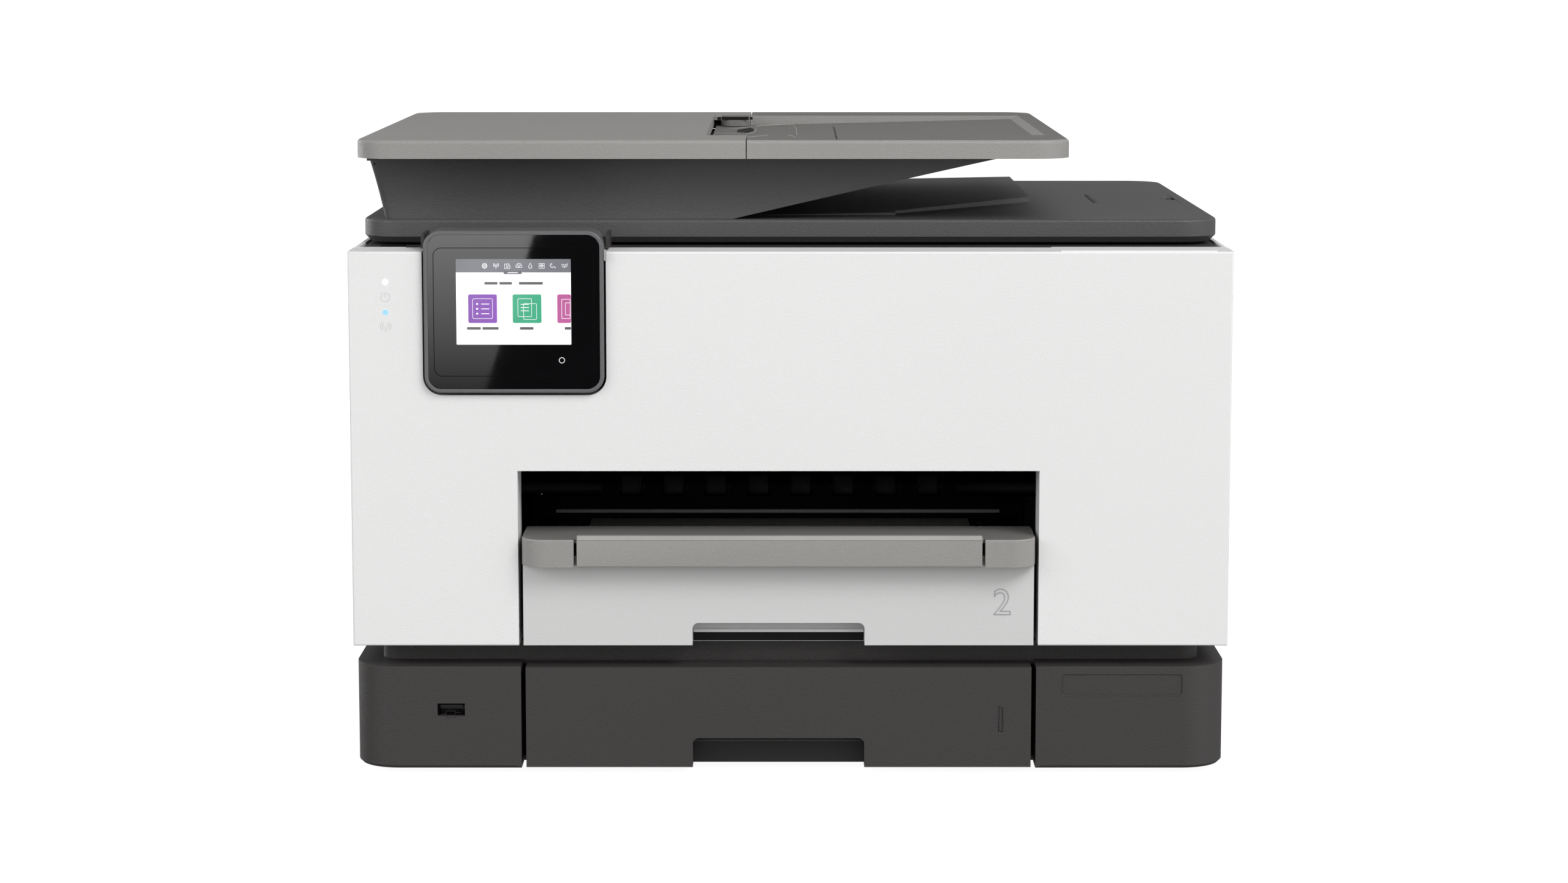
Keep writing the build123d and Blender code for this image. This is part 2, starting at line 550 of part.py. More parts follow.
def front_door():
    """The white front: a shell with an opening for the trays and a notch for the touch panel."""
    outer = block(-HALF, HALF, FRONT_Y, DOOR_BACK, COVER_BOTTOM, COVER_TOP)
    outer = fillet(outer.faces().sort_by(Axis.Y)[0].edges(), DOOR_EDGE)
    pocket = block(-HALF + WALL, HALF - WALL, FRONT_Y + WALL, DOOR_BACK + 1, COVER_BOTTOM + WALL,
                   COVER_TOP - WALL)
    pocket -= door_opening(WALL)
    pocket -= door_notch(WALL)
    for x in EAR_XS:
        for side in (-1, 1):
            near = x + side * (EAR_THICK / 2 + 1)
            far = near + side * 3
            pocket -= block(min(near, far), max(near, far), FRONT_Y, DOOR_BACK - WALL, COVER_BOTTOM,
                            DOOR_PIVOT_Z + 9)
    for x in (DOOR_OPEN_LEFT - 40, TRAY_X, DOOR_OPEN_RIGHT + 40):
        pocket -= block(x - 1, x + 1, FRONT_Y, DOOR_BACK - WALL, COVER_BOTTOM, TOUCH_BOTTOM - 20)
    door = outer - pocket - door_opening(0) - door_notch(0)
    for x in EAR_XS:
        door -= ear_slot(x)
        door -= rod_x(x - 7.5, x + 7.5, DOOR_PIVOT_Y, DOOR_PIVOT_Z, HINGE_PIN_R + RUN_FIT)
    for z in LED_ZS:
        door -= rod_y(LED_X, FRONT_Y - 1, FRONT_Y + WALL + 1, z, LED_R + RUN_FIT)
    return door


def door_liner():
    """The grey inner panel that closes the back of the front door."""
    inset = WALL + SEAT_GAP
    liner = block(-HALF + inset, HALF - inset, DOOR_BACK - WALL, DOOR_BACK, COVER_BOTTOM + inset,
                  COVER_TOP - inset)
    liner -= door_opening(inset)
    liner -= door_notch(inset)
    for x in EAR_XS:
        liner -= ear_slot(x)
    return liner


def door_hinge_pins():
    """Two short steel pins in the feet of the door."""
    return group([rod_x(x - 6.9, x + 6.9, DOOR_PIVOT_Y, DOOR_PIVOT_Z, HINGE_PIN_R) for x in EAR_XS])


def led_lenses():
    """Two status light pipes, flush with the front."""
    return group([rod_y(LED_X, FRONT_Y - 0.05, FRONT_Y + WALL + 2, z, LED_R)
                  + rod_y(LED_X, FRONT_Y + WALL + SEAT_GAP, FRONT_Y + WALL + 2, z,
                          LED_R + 1.5) for z in LED_ZS])


# ---- touch panel ----
def panel_frame():
    """The shell of the touch panel, with seats for the glass and the display and a pivot hole in each side."""
    back = TOUCH_FRONT + TOUCH_DEPTH
    frame = rounded_y(TOUCH_LEFT, TOUCH_RIGHT, TOUCH_FRONT, back, TOUCH_BOTTOM, TOUCH_TOP, TOUCH_RADIUS)
    frame = fillet(frame.faces().sort_by(Axis.Y)[0].edges(), 0.8)
    frame -= rounded_y(TOUCH_LEFT + WALL, TOUCH_RIGHT - WALL, TOUCH_FRONT + 6, back + 1,
                       TOUCH_BOTTOM + WALL, TOUCH_TOP - WALL, TOUCH_RADIUS - WALL)
    frame -= glass_outline(0, TOUCH_FRONT - 1, TOUCH_FRONT + GLASS_THICK + 0.2)
    z1 = TOUCH_TOP - LCD_DROP
    frame -= block(TOUCH_X - LCD_WIDTH / 2, TOUCH_X + LCD_WIDTH / 2, TOUCH_FRONT, TOUCH_FRONT + 4.2,
                   z1 - LCD_HEIGHT, z1)
    return frame - rod_x(TOUCH_LEFT - 1, TOUCH_RIGHT + 1, TOUCH_PIVOT_Y, TOUCH_PIVOT_Z, HINGE_PIN_R + RUN_FIT)


def glass_outline(inset, y0, y1):
    """The rounded outline of the cover glass."""
    edge = TOUCH_FRAME + inset
    return rounded_y(TOUCH_LEFT + edge, TOUCH_RIGHT - edge, y0, y1, TOUCH_BOTTOM + edge, TOUCH_TOP - edge,
                     TOUCH_RADIUS - edge)


def lcd_screen():
    """The display module behind the cover glass."""
    fit = 0.1
    z1 = TOUCH_TOP - LCD_DROP
    return block(TOUCH_X - LCD_WIDTH / 2 + fit, TOUCH_X + LCD_WIDTH / 2 - fit,
                 TOUCH_FRONT + GLASS_THICK + SEAT_GAP,
                 TOUCH_FRONT + 4.2, z1 - LCD_HEIGHT + fit, z1 - fit)


def panel_bracket():
    """Two arms from the scanner deck over the door, with the pins that the touch panel tilts on."""
    arms = []
    thick = 1.6
    low = COVER_TOP + 0.8
    high = low + 7.0
    for side, edge in ((-1, TOUCH_LEFT), (1, TOUCH_RIGHT)):
        near = edge + side * 0.5
        far = near + side * thick
        x0, x1 = min(near, far), max(near, far)
        arm = block(x0, x1, TOUCH_PIVOT_Y - 4, BEZEL_BACK + 8, low, high)
        arm += block(x0, x1, BEZEL_BACK + 1, BEZEL_BACK + 8, DECK_TOP, high)
        tip = edge - side * (WALL + 1)
        arm += rod_x(min(tip, far), max(tip, far), TOUCH_PIVOT_Y, TOUCH_PIVOT_Z, HINGE_PIN_R)
        arms.append(arm)
    return group(arms)


# ---- output tray ----
BAR_X = TRAY_X + 0.5


def output_tray():
    """The taupe shelf that printed sheets land on, with a rounded ear at each front corner."""
    half = CAP_WIDTH / 2
    shelf = block(TRAY_X - half, TRAY_X + half, CAP_FRONT, CAP_BACK, CAP_BOTTOM, CAP_TOP)
    corner = shelf.edges().filter_by(Axis.Z).group_by(Axis.Y)[0]
    shelf = fillet(corner, CAP_RADIUS)
    shelf = fillet(shelf.faces().sort_by(Axis.Z)[-1].edges().group_by(Axis.Y)[0], 0.8)
    bar_half = BAR_WIDTH / 2 + BAR_GAP
    shelf -= block(BAR_X - bar_half, BAR_X + bar_half, CAP_FRONT - 1, CAP_FRONT + BAR_DEPTH + PANEL_GAP,
                   CAP_BOTTOM - 1, CAP_TOP + 1)
    channel = block(BAR_X - bar_half, BAR_X + bar_half, CAP_FRONT, CAP_BACK + 1,
                    CAP_TOP - 6 - EXTENDER_THICK, CAP_TOP - WALL)
    shelf -= channel
    chute = block(TRAY_X - half + 4, TRAY_X + half - 4, CAP_BACK, ROLLER_Y - 22, CAP_BOTTOM,
                  CAP_BOTTOM + WALL)
    seat = block(BAR_X - bar_half, BAR_X + bar_half, CAP_BACK, ROLLER_Y - 22, CAP_BOTTOM,
                 CAP_TOP - 6 - EXTENDER_THICK)
    return shelf + chute + seat


def extender():
    """The pull-out paper support: a bar across the front of the shelf on a long flat tongue."""
    half = BAR_WIDTH / 2
    back = CAP_FRONT + BAR_DEPTH
    bar = prism_x([(CAP_FRONT + 1.4, CAP_TOP + BAR_RISE), (CAP_FRONT, CAP_TOP - 0.4),
                   (CAP_FRONT, CAP_BOTTOM + 0.6),
                   (CAP_FRONT + 0.6, CAP_BOTTOM), (back, CAP_BOTTOM), (back, CAP_TOP + BAR_RISE)],
                  BAR_X - half, BAR_X + half)
    z0 = CAP_TOP - 6 - EXTENDER_THICK + SEAT_GAP
    tongue = block(BAR_X - half + 2, BAR_X + half - 2, back, back + EXTENDER_LENGTH, z0, z0 + EXTENDER_THICK)
    return bar + tongue


def output_rib_bar():
    """The black comb of ribs between the output rollers."""
    reach = DOOR_OPENING / 2 - 4
    y0 = ROLLER_Y - 22
    bar = block(TRAY_X - reach, TRAY_X + reach, y0, y0 + 9, CAP_TOP + 2, CAP_TOP + 6)
    bar += block(TRAY_X - reach, TRAY_X + reach, y0 + 0.1, y0 + 3, CAP_TOP - 5.2, CAP_TOP + 2)
    middle = (RIB_COUNT - 1) / 2
    for i in range(RIB_COUNT):
        x = BAR_X + (i - middle) * RIB_PITCH
        half = RIB_WIDTH / 2
        outline = [(x - half - 2, CAP_TOP + 6), (x + half + 2, CAP_TOP + 6), (x + half, CAP_TOP + 13),
                   (x - half, CAP_TOP + 13)]
        bar += prism_y(outline, y0, y0 + 9)
    for side in (-1, 1):
        x = TRAY_X + side * BAY_HALF
        end = TRAY_X + side * reach
        bar += block(min(x, end), max(x, end), y0, y0 + 9, CAP_BOTTOM, CAP_TOP + 6)
    return bar


# ---- print engine ----
def roller_shaft(y, shaft_r, roller_r, width, count, pitch):
    """A shaft across the machine with rubber rollers along it."""
    shaft = rod_x(-FRAME_X - 1, FRAME_X + 1, y, ROLLER_Z, shaft_r)
    middle = (count - 1) / 2
    for i in range(count):
        x = BAR_X + (i - middle) * pitch
        shaft += rod_x(x - width / 2, x + width / 2, y, ROLLER_Z, roller_r)
    return shaft


def platen():
    """The flat bed under the print head, between the rollers."""
    y0 = ROLLER_Y + EJECT_R + 1.5
    y1 = FEED_Y - FEED_R - 1.5
    reach = FRAME_X - FRAME_PLATE
    bed = block(-reach, HOME_X - CARRIAGE_WIDTH / 2 - 2, y0, y1, PLATEN_TOP - 6, PLATEN_TOP - 2)
    for i in range(14):
        x = TRAY_X - 104 + i * 16
        if x < HOME_X - CARRIAGE_WIDTH / 2 - 6:
            bed += block(x - 1, x + 1, y0 + 3, y1 - 3, PLATEN_TOP - 2, PLATEN_TOP)
    return bed


def service_station():
    """The capping and wiping box where the print head parks."""
    x0 = HOME_X - CARRIAGE_WIDTH / 2 + 1
    x1 = FRAME_X - FRAME_PLATE
    y0 = ROLLER_Y + EJECT_R + 1.5
    y1 = FEED_Y - FEED_R - 1.5
    station = block(x0, x1, y0, y1, PLATEN_TOP - 12, PLATEN_TOP - 2)
    for i in range(CARTRIDGE_COUNT):
        x = x0 + 14 + i * 18
        cap = block(x - 5, x + 5, y0 + 6, y1 - 6, PLATEN_TOP - 2, PLATEN_TOP + 3)
        station += cap - block(x - 3.5, x + 3.5, y0 + 7.5, y1 - 7.5, PLATEN_TOP, PLATEN_TOP + 4)
    return station


def guide_rods():
    """The steel rods that the print carriage and the scan head run on."""
    scan_rod = rod_x(-DECK_HALF + 2.5, DECK_HALF - 2.5, LID_MID_Y, SCAN_RAIL_Z, SCAN_RAIL_R)
    return group([rod_x(-FRAME_X - 1, FRAME_X + 1, ROD_Y, ROD_Z, ROD_R), scan_rod])


def print_carriage():
    """The open-topped holder for the cartridges, with its bearing on the guide rod."""
    x0 = HOME_X - CARRIAGE_WIDTH / 2
    x1 = HOME_X + CARRIAGE_WIDTH / 2
    holder_back = ROD_Y - ROD_R - 4
    body = block(x0, x1, CARRIAGE_FRONT, holder_back, CARRIAGE_BOTTOM, CARRIAGE_BOTTOM + 46)
    body -= block(x0 + 2, x1 - 2, CARRIAGE_FRONT + 2, holder_back - 2, CARRIAGE_BOTTOM + 4,
                  CARRIAGE_BOTTOM + 47)
    body += block(x0, x1, holder_back - 2, CARRIAGE_BACK, ROD_Z - 10, ROD_Z + 10)
    body += block(HOME_X - 12, HOME_X + 12, CARRIAGE_BACK - 4, PLATE_Y - 3.5, ROD_Z + 6, ROD_Z + 10)
    clip_top = BELT_Z - PULLEY_R - BELT_THICK - 2 * SEAT_GAP
    body += block(HOME_X - 12, HOME_X + 12, PLATE_Y - 3 - BELT_WIDTH, PLATE_Y - 3.5, ROD_Z + 10, clip_top)
    head = block(x0 + 8, x1 - 8, CARRIAGE_FRONT + 9, holder_back - 12, CARRIAGE_BOTTOM - 1.5, CARRIAGE_BOTTOM)
    return body + head - rod_x(x0 - 1, x1 + 1, ROD_Y, ROD_Z, ROD_R + RUN_FIT)


def ink_cartridges():
    """The row of cartridges, one for each colour, each with a finger tab."""
    cartridges = []
    pitch = (CARRIAGE_WIDTH - 4) / CARTRIDGE_COUNT
    y0 = CARRIAGE_FRONT + 2 + SEAT_GAP
    y1 = ROD_Y - ROD_R - 6 - SEAT_GAP
    bottom = CARRIAGE_BOTTOM + 4
    for i in range(CARTRIDGE_COUNT):
        x0 = HOME_X - CARRIAGE_WIDTH / 2 + 2 + i * pitch + CARTRIDGE_GAP / 2
        x1 = x0 + pitch - CARTRIDGE_GAP
        tank = block(x0, x1, y0, y1, bottom, CARRIAGE_TOP - 8)
        tank += block(x0 + 3, x1 - 3, y0, y0 + 10, CARRIAGE_TOP - 8, CARRIAGE_TOP - 4)
        cartridges.append(tank)
    return group(cartridges)


def pulley(x, shaft_r, shaft_y0, shaft_y1):
    """A flanged belt pulley on a stub shaft along Y."""
    y0 = PLATE_Y - 3 - BELT_WIDTH
    y1 = PLATE_Y - 3
    wheel = rod_y(x, y0, y1, BELT_Z, PULLEY_R)
    wheel += rod_y(x, y0 - 1, y0 - 0.2, BELT_Z, PULLEY_R + 2) + rod_y(x, y1 + 0.2, y1 + 1, BELT_Z,
                                                                      PULLEY_R + 2)
    wheel += rod_y(x, y0 - 1, y1 + 1, BELT_Z, PULLEY_R - 1)
    return wheel + rod_y(x, shaft_y0, shaft_y1, BELT_Z, shaft_r)


def belt_loop(xa, xb, z, radius, y0, y1):
    """A flat belt round two equal pulleys whose shafts run along Y."""
    outer = block(xa, xb, y0, y1, z - radius - BELT_THICK, z + radius + BELT_THICK)
    outer += rod_y(xa, y0, y1, z, radius + BELT_THICK) + rod_y(xb, y0, y1, z, radius + BELT_THICK)
    inner = block(xa, xb, y0 - 1, y1 + 1, z - radius, z + radius)
    inner += rod_y(xa, y0 - 1, y1 + 1, z, radius) + rod_y(xb, y0 - 1, y1 + 1, z, radius)
    return outer - inner


def carriage_motor():
    """The motor that drives the carriage belt, on the back of the chassis plate."""
    y0 = PLATE_Y + FRAME_PLATE
    can = rod_y(PULLEY_X, y0, y0 + MOTOR_LENGTH, BELT_Z, MOTOR_R)
    return can - rod_y(PULLEY_X, y0 - 1, y0 + MOTOR_LENGTH - 3, BELT_Z, 1.5 + RUN_FIT)


def feed_motor():
    """The motor that turns the paper rollers, with its pinion outside the left chassis plate."""
    x0 = -FRAME_X + FRAME_PLATE
    y = PLATE_Y + 40
    z = FLOOR_TOP + 60
    return rod_x(x0, x0 + MOTOR_LENGTH, y, z, MOTOR_R) + rod_x(-FRAME_X - 4, x0, y, z, 2.5)


def power_supply():
    """The vented steel box at the rear right."""
    x0 = TRAY_X + BAY_HALF + FRAME_PLATE + 4
    x1 = FRAME_X - FRAME_PLATE - 3
    y0 = REAR_PLANE - 126
    y1 = REAR_PLANE - 6
    box = block(x0, x1, y0, y1, FLOOR_TOP, FLOOR_TOP + 38)
    box -= block(x0 + 1.5, x1 - 1.5, y0 + 1.5, y1 - 1.5, FLOOR_TOP + 1.5, FLOOR_TOP + 36.5)
    for i in range(6):
        y = y0 + 20 + i * 15
        box -= block(x0 + 10, x1 - 10, y, y + 5, FLOOR_TOP + 36.5, FLOOR_TOP + 39)
    return box


def power_inlet():
    """The two-pin mains inlet, set in the back skin."""
    y0 = REAR_PLANE - 6
    shell = block(INLET_X - INLET_HALF, INLET_X + INLET_HALF, y0, BACK_Y - 0.4, INLET_Z - 8, INLET_Z + 8)
    shell -= rounded_y(INLET_X - 9, INLET_X + 9, BACK_Y - 15, BACK_Y, INLET_Z - 4.5, INLET_Z + 4.5, 4.4)
    for side in (-1, 1):
        shell += rod_y(INLET_X + side * 4.3, BACK_Y - 16, BACK_Y - 5, INLET_Z, 1.2)
    return shell


def rear_ports():
    """The block with the data, network and telephone sockets."""
    x0 = PORTS_X - PORTS_HALF
    x1 = PORTS_X + PORTS_HALF
    y0 = REAR_PLANE - 20
    body = block(x0, x1, y0, BACK_Y - 0.4, INLET_Z - 8, INLET_Z + 8)
    body += block(x0, x1, y0, REAR_PLANE - 1, FLOOR_TOP, INLET_Z - 8)
    for x, width, height in ((x0 + 8, 8.5, 8), (x0 + 22, 12, 11), (x0 + 35, 8, 7), (x0 + 45.5, 8, 7)):
        body -= block(x - width / 2, x + width / 2, BACK_Y - 12, BACK_Y, INLET_Z - height / 2,
                      INLET_Z + height / 2)
    return body


def main_board():
    """The control board on posts outside the right chassis plate."""
    x0 = FRAME_X + 2
    y0 = BEZEL_BACK + 60
    y1 = y0 + 150
    z0 = FLOOR_TOP + 40
    z1 = z0 + 100
    board = block(x0, x0 + 1.6, y0, y1, z0, z1)
    for y in (y0 + 6, y1 - 6):
        for z in (z0 + 6, z1 - 6):
            board += rod_x(FRAME_X, x0, y, z, 3.0)
    board += block(x0 + 1.6, x0 + 3.2, y0 + 40, y0 + 64, z0 + 40, z0 + 64)
    board += block(x0 + 1.6, x0 + 2.8, y0 + 80, y0 + 98, z0 + 30, z0 + 42)
    return board


# ---- scanner ----
BUTTON_X = LED_X
BUTTON_Y = BEZEL_BACK + 9.5
BUTTON_HALF = 6.5


def scanner_deck():
    """The closed tray under the document glass, whose top is the dark deck round the lid."""
    y0 = BEZEL_BACK + 0.5
    y1 = REAR_PLANE + 0.5
    deck = block(-DECK_HALF, DECK_HALF, y0, y1, DECK_FLOOR, DECK_TOP)
    deck -= block(-DECK_HALF + 2, DECK_HALF - 2, y0 + 2, y1 - 2, DECK_FLOOR + 2, DECK_TOP - WALL)
    half = WINDOW_DEPTH / 2
    x0 = WINDOW_X - WINDOW_LENGTH / 2
    deck -= block(x0, x0 + WINDOW_LENGTH, LID_MID_Y - half, LID_MID_Y + half, DECK_TOP - 4, DECK_TOP + 1)
    deck -= block(x0 - 24, x0 - 10, LID_MID_Y - half, LID_MID_Y + half, DECK_TOP - 4, DECK_TOP + 1)
    deck -= rounded_z(BUTTON_X - BUTTON_HALF - 0.2, BUTTON_X + BUTTON_HALF + 0.2, BUTTON_Y - 3.2,
                      BUTTON_Y + 3.2,
                      DECK_TOP - 4, DECK_TOP + 1, 3.1)
    for side in (-1, 1):
        x = side * (DECK_HALF - 5)
        deck += block(x - 3, x + 3, LID_MID_Y - 8, LID_MID_Y + 8, DECK_FLOOR + 2, SCAN_RAIL_Z + 6)
    return deck - rod_x(-DECK_HALF + 1, DECK_HALF - 1, LID_MID_Y, SCAN_RAIL_Z, SCAN_RAIL_R + RUN_FIT)


def scanner_glass():
    """The document glass and the narrow strip that the feeder scans through, glued under the deck."""
    half = WINDOW_DEPTH / 2 + 3
    x0 = WINDOW_X - WINDOW_LENGTH / 2
    z0 = GLASS_TOP - GLASS_PLATE
    return group([block(x0 - 3, x0 + WINDOW_LENGTH + 3, LID_MID_Y - half, LID_MID_Y + half, z0, GLASS_TOP),
                  block(x0 - 27, x0 - 7, LID_MID_Y - half, LID_MID_Y + half, z0, GLASS_TOP)])


def scan_head():
    """The image sensor bar, as long as the glass is deep, on a bearing block."""
    top = GLASS_TOP - GLASS_PLATE - SEAT_GAP
    half = WINDOW_DEPTH / 2 - 1
    bar = block(SCAN_HOME_X - 8, SCAN_HOME_X + 8, LID_MID_Y - half, LID_MID_Y + half, SCAN_RAIL_Z + 5, top)
    bar += block(SCAN_HOME_X - 8, SCAN_HOME_X + 8, LID_MID_Y - 12, LID_MID_Y + 12, SCAN_RAIL_Z - 7,
                 SCAN_RAIL_Z + 5)
    return bar - rod_x(SCAN_HOME_X - 9, SCAN_HOME_X + 9, LID_MID_Y, SCAN_RAIL_Z, SCAN_RAIL_R + RUN_FIT)


def power_button():
    """The oval power key in the deck, above the status lights."""
    key = rounded_z(BUTTON_X - BUTTON_HALF, BUTTON_X + BUTTON_HALF, BUTTON_Y - 3, BUTTON_Y + 3,
                    DECK_TOP - WALL - 2, DECK_TOP + 0.9, 2.9)
    return key + block(BUTTON_X - BUTTON_HALF - 1.5, BUTTON_X + BUTTON_HALF + 1.5, BUTTON_Y - 4, BUTTON_Y + 4,
                       DECK_TOP - WALL - 2, DECK_TOP - WALL - SEAT_GAP)


# ---- lid ----
HINGE_XS = (-150.0, 118.0)


def hinge_brackets():
    """Fixed knuckles on the deck, a pair on each side of the lid's hinge arms."""
    brackets = []
    for x in HINGE_XS:
        for side in (-1, 1):
            near = x + side * 8.3
            far = near + side * 6
            x0, x1 = min(near, far), max(near, far)
            ear = block(x0, x1, LID_PIVOT_Y - KNUCKLE_R, REAR_PLANE, DECK_TOP, LID_PIVOT_Z)
            ear += rod_x(x0, x1, LID_PIVOT_Y, LID_PIVOT_Z, KNUCKLE_R)
            brackets.append(ear - rod_x(x0 - 1, x1 + 1, LID_PIVOT_Y, LID_PIVOT_Z, KNUCKLE_PIN_R + RUN_FIT))
    return group(brackets)


def lid_hinge_arms():
    """The lid's half of the hinges: an arm with a knuckle and its pin."""
    arms = []
    for x in HINGE_XS:
        arm = block(x - 8, x + 8, LID_BACK_Y, LID_PIVOT_Y, LID_PIVOT_Z - 2, LID_PIVOT_Z + KNUCKLE_R)
        arm += rod_x(x - 8, x + 8, LID_PIVOT_Y, LID_PIVOT_Z, KNUCKLE_R)
        arms.append(arm + rod_x(x - 14, x + 14, LID_PIVOT_Y, LID_PIVOT_Z, KNUCKLE_PIN_R))
    return group(arms)


BED_RIGHT = 129.5
BED_LEFT = -20.0
BED_STEP = 2.8


def lid_bed():
    """The raised wedge on the lid that catches sheets from the feeder."""
    wedge = prism_y([(BED_LEFT, LID_TOP - 1), (BED_RIGHT, LID_TOP - 1), (BED_RIGHT, LID_TOP + BED_STEP),
                     (BED_LEFT, LID_TOP)], LID_FRONT_Y + 30, LID_BACK_Y - 7)
    slant_y = FRONT_Y + 180
    cut = extrude(Plane.XY.offset(LID_TOP) * Polygon((54, LID_FRONT_Y + 29),
                                                     (BED_RIGHT + 1, LID_FRONT_Y + 29),
                                                     (BED_RIGHT + 1, slant_y), (54, FRONT_Y + 90),
                                                     align=None), 5)
    return wedge - cut


def scanner_lid():
    """The dark lid, with a pocket for the foam and a recess for the paper stop."""
    half = LID_LENGTH / 2
    lid = rounded_z(-half, half, LID_FRONT_Y, LID_BACK_Y, LID_BOTTOM, LID_TOP, LID_RADIUS)
    lid = chamfer(lid.faces().sort_by(Axis.Z)[0].edges(), LID_CHAMFER)
    lid = fillet(lid.faces().sort_by(Axis.Z)[-1].edges(), 1.5)
    foam = foam_box(0)
    lid = lid + lid_bed() - block(foam[0], foam[1], foam[2], foam[3], LID_BOTTOM - 1, LID_BOTTOM + FOAM_THICK)
    y0 = FLAP_Y - FLAP_WIDTH / 2 - SEAT_GAP
    y1 = FLAP_Y + FLAP_WIDTH / 2 + SEAT_GAP
    lid -= block(FLAP_LEFT - 2.8, FLAP_LEFT + FLAP_LENGTH + SEAT_GAP, y0, y1, LID_TOP - FLAP_THICK - 0.6,
                 LID_TOP + 1)
    return lid - rod_y(FLAP_LEFT, y0 - 3, y1 + 3, LID_TOP - 1.8, 1.0 + RUN_FIT)


def foam_box(inset):
    """The left, right, front and back of the foam pad."""
    return (WINDOW_X - WINDOW_LENGTH / 2 - 30 + inset, WINDOW_X + WINDOW_LENGTH / 2 + 8 - inset,
            LID_MID_Y - WINDOW_DEPTH / 2 - 8 + inset, LID_MID_Y + WINDOW_DEPTH / 2 + 8 - inset)


def lid_pad():
    """The white foam pad that presses a document flat."""
    foam = foam_box(0.5)
    return block(foam[0], foam[1], foam[2], foam[3], DECK_TOP + SEAT_GAP, LID_BOTTOM + FOAM_THICK)


def lid_paper_stop():
    """The flap that lifts out of the lid to stop sheets from the feeder."""
    y0 = FLAP_Y - FLAP_WIDTH / 2
    y1 = FLAP_Y + FLAP_WIDTH / 2
    flap = block(FLAP_LEFT, FLAP_LEFT + FLAP_LENGTH, y0, y1, LID_TOP - FLAP_THICK, LID_TOP)
    flap += rod_y(FLAP_LEFT, y0, y1, LID_TOP - 1.8, 1.7)
    flap -= rounded_z(FLAP_LEFT + FLAP_LENGTH - 7, FLAP_LEFT + FLAP_LENGTH + 5, FLAP_Y - 9, FLAP_Y + 9,
                      LID_TOP - 1, LID_TOP + 1, 4.0)
    return flap + rod_y(FLAP_LEFT, y0 - 2.5, y1 + 2.5, LID_TOP - 1.8, 1.0)


# ---- document feeder ----
ADF_INNER_LEFT = -HALF + ADF_NECK_INSET
BEARING_FRONT = ADF_MID_Y - THROAT_DEPTH / 2
BEARING_BACK = ADF_MID_Y + THROAT_DEPTH / 2
PICK_X = ADF_SPLIT - 42.0
FEED_X = ADF_SPLIT - 82.0
PICK_Z = ADF_DECK - 8.0
ADF_SHAFT_R = 3.0
PICK_R = 10.0


ADF_TAPER = 6.5  # the left end leans out by this much towards the top
ADF_FLARE = 12.5  # the front curves out by this much under the cover
ADF_CORNER = 5.0
SWING_RELIEF = 1.6  # a small bevel that the cover's wall swings past


def adf_block(inset):
    """The feeder's body as a solid block, inset for its wall: a leaning left end, a hollow front and a sloping end."""
    top_left = ADF_INNER_LEFT - 2.4 + inset
    top = ADF_DECK - inset
    low = ADF_BOTTOM + inset
    front = ADF_NECK_FRONT + inset
    rear = ADF_NECK_REAR - inset
    ends = prism_y([(top_left + ADF_TAPER, low), (ADF_SLOPE_START - inset, low), (ADF_SLOPE_END - 6 * inset, top),
                    (top_left, top)], front - ADF_FLARE - 1, rear)
    rise = top - low
    radius = (rise ** 2 + ADF_FLARE ** 2) / (2 * ADF_FLARE)
    middle = (front - radius + (radius ** 2 - (rise / 2) ** 2) ** 0.5, low + rise / 2)
    side = make_face([Line((rear, low), (front, low)),
                      ThreePointArc((front, low), middle, (front - ADF_FLARE, top)),
                      Line((front - ADF_FLARE, top), (rear, top)), Line((rear, top), (rear, low))])
    return ends & extrude(Plane.YZ.offset(-HALF) * side, WIDTH)


def adf_body():
    """The body of the feeder, open at the top over its rollers and at the right where sheets come out."""
    body = adf_block(0)
    leaning = body.edges().filter_by(lambda e: e.center().X < ADF_INNER_LEFT + 3 and e.bounding_box().size.Z > 20)
    body = fillet(leaning, ADF_CORNER) - adf_block(WALL)
    edge = ADF_INNER_LEFT - 2.4
    body -= prism_y([(edge - 1, ADF_DECK - SWING_RELIEF), (edge, ADF_DECK - SWING_RELIEF),
                     (edge + SWING_RELIEF, ADF_DECK), (edge + SWING_RELIEF, ADF_DECK + 1), (edge - 1, ADF_DECK + 1)],
                    ADF_FRONT_Y, ADF_BACK_Y)
    for y in (BEARING_FRONT, BEARING_BACK):
        body += block(ADF_INNER_LEFT + 5.5, ADF_SPLIT - 24, y - WALL / 2, y + WALL / 2, ADF_BOTTOM + 1,
                      ADF_DECK - 1)
    body -= block(ADF_INNER_LEFT + 6, ADF_SPLIT - 23, BEARING_FRONT + WALL / 2, BEARING_BACK - WALL / 2,
                  ADF_DECK - WALL - 1, ADF_DECK + 1)
    slot_low = ADF_BOTTOM + WALL + 1.5
    body -= block(ADF_SLOPE_START - 14, ADF_SLOPE_START + 60, BEARING_FRONT + 2, BEARING_BACK - 2,
                  slot_low, slot_low + 7)
    for x in (PICK_X, FEED_X):
        body -= rod_y(x, BEARING_FRONT - 3, BEARING_BACK + 3, PICK_Z, ADF_SHAFT_R + RUN_FIT)
    for y in COVER_EAR_YS:
        body += block(COVER_PIVOT_X - 2.2, ADF_INNER_LEFT + 1, y - 3, y + 3, ADF_DECK - WALL, ADF_DECK)
        body += block(COVER_PIVOT_X - 2.2, COVER_PIVOT_X + 2.2, y - 3, y + 3, ADF_DECK - 1, COVER_PIVOT_Z)
        body += rod_y(COVER_PIVOT_X, y - 3, y + 3, COVER_PIVOT_Z, 2.2)
        body += rod_y(COVER_PIVOT_X, y - 6.5, y + 6.5, COVER_PIVOT_Z, COVER_PIN_R)
    return body


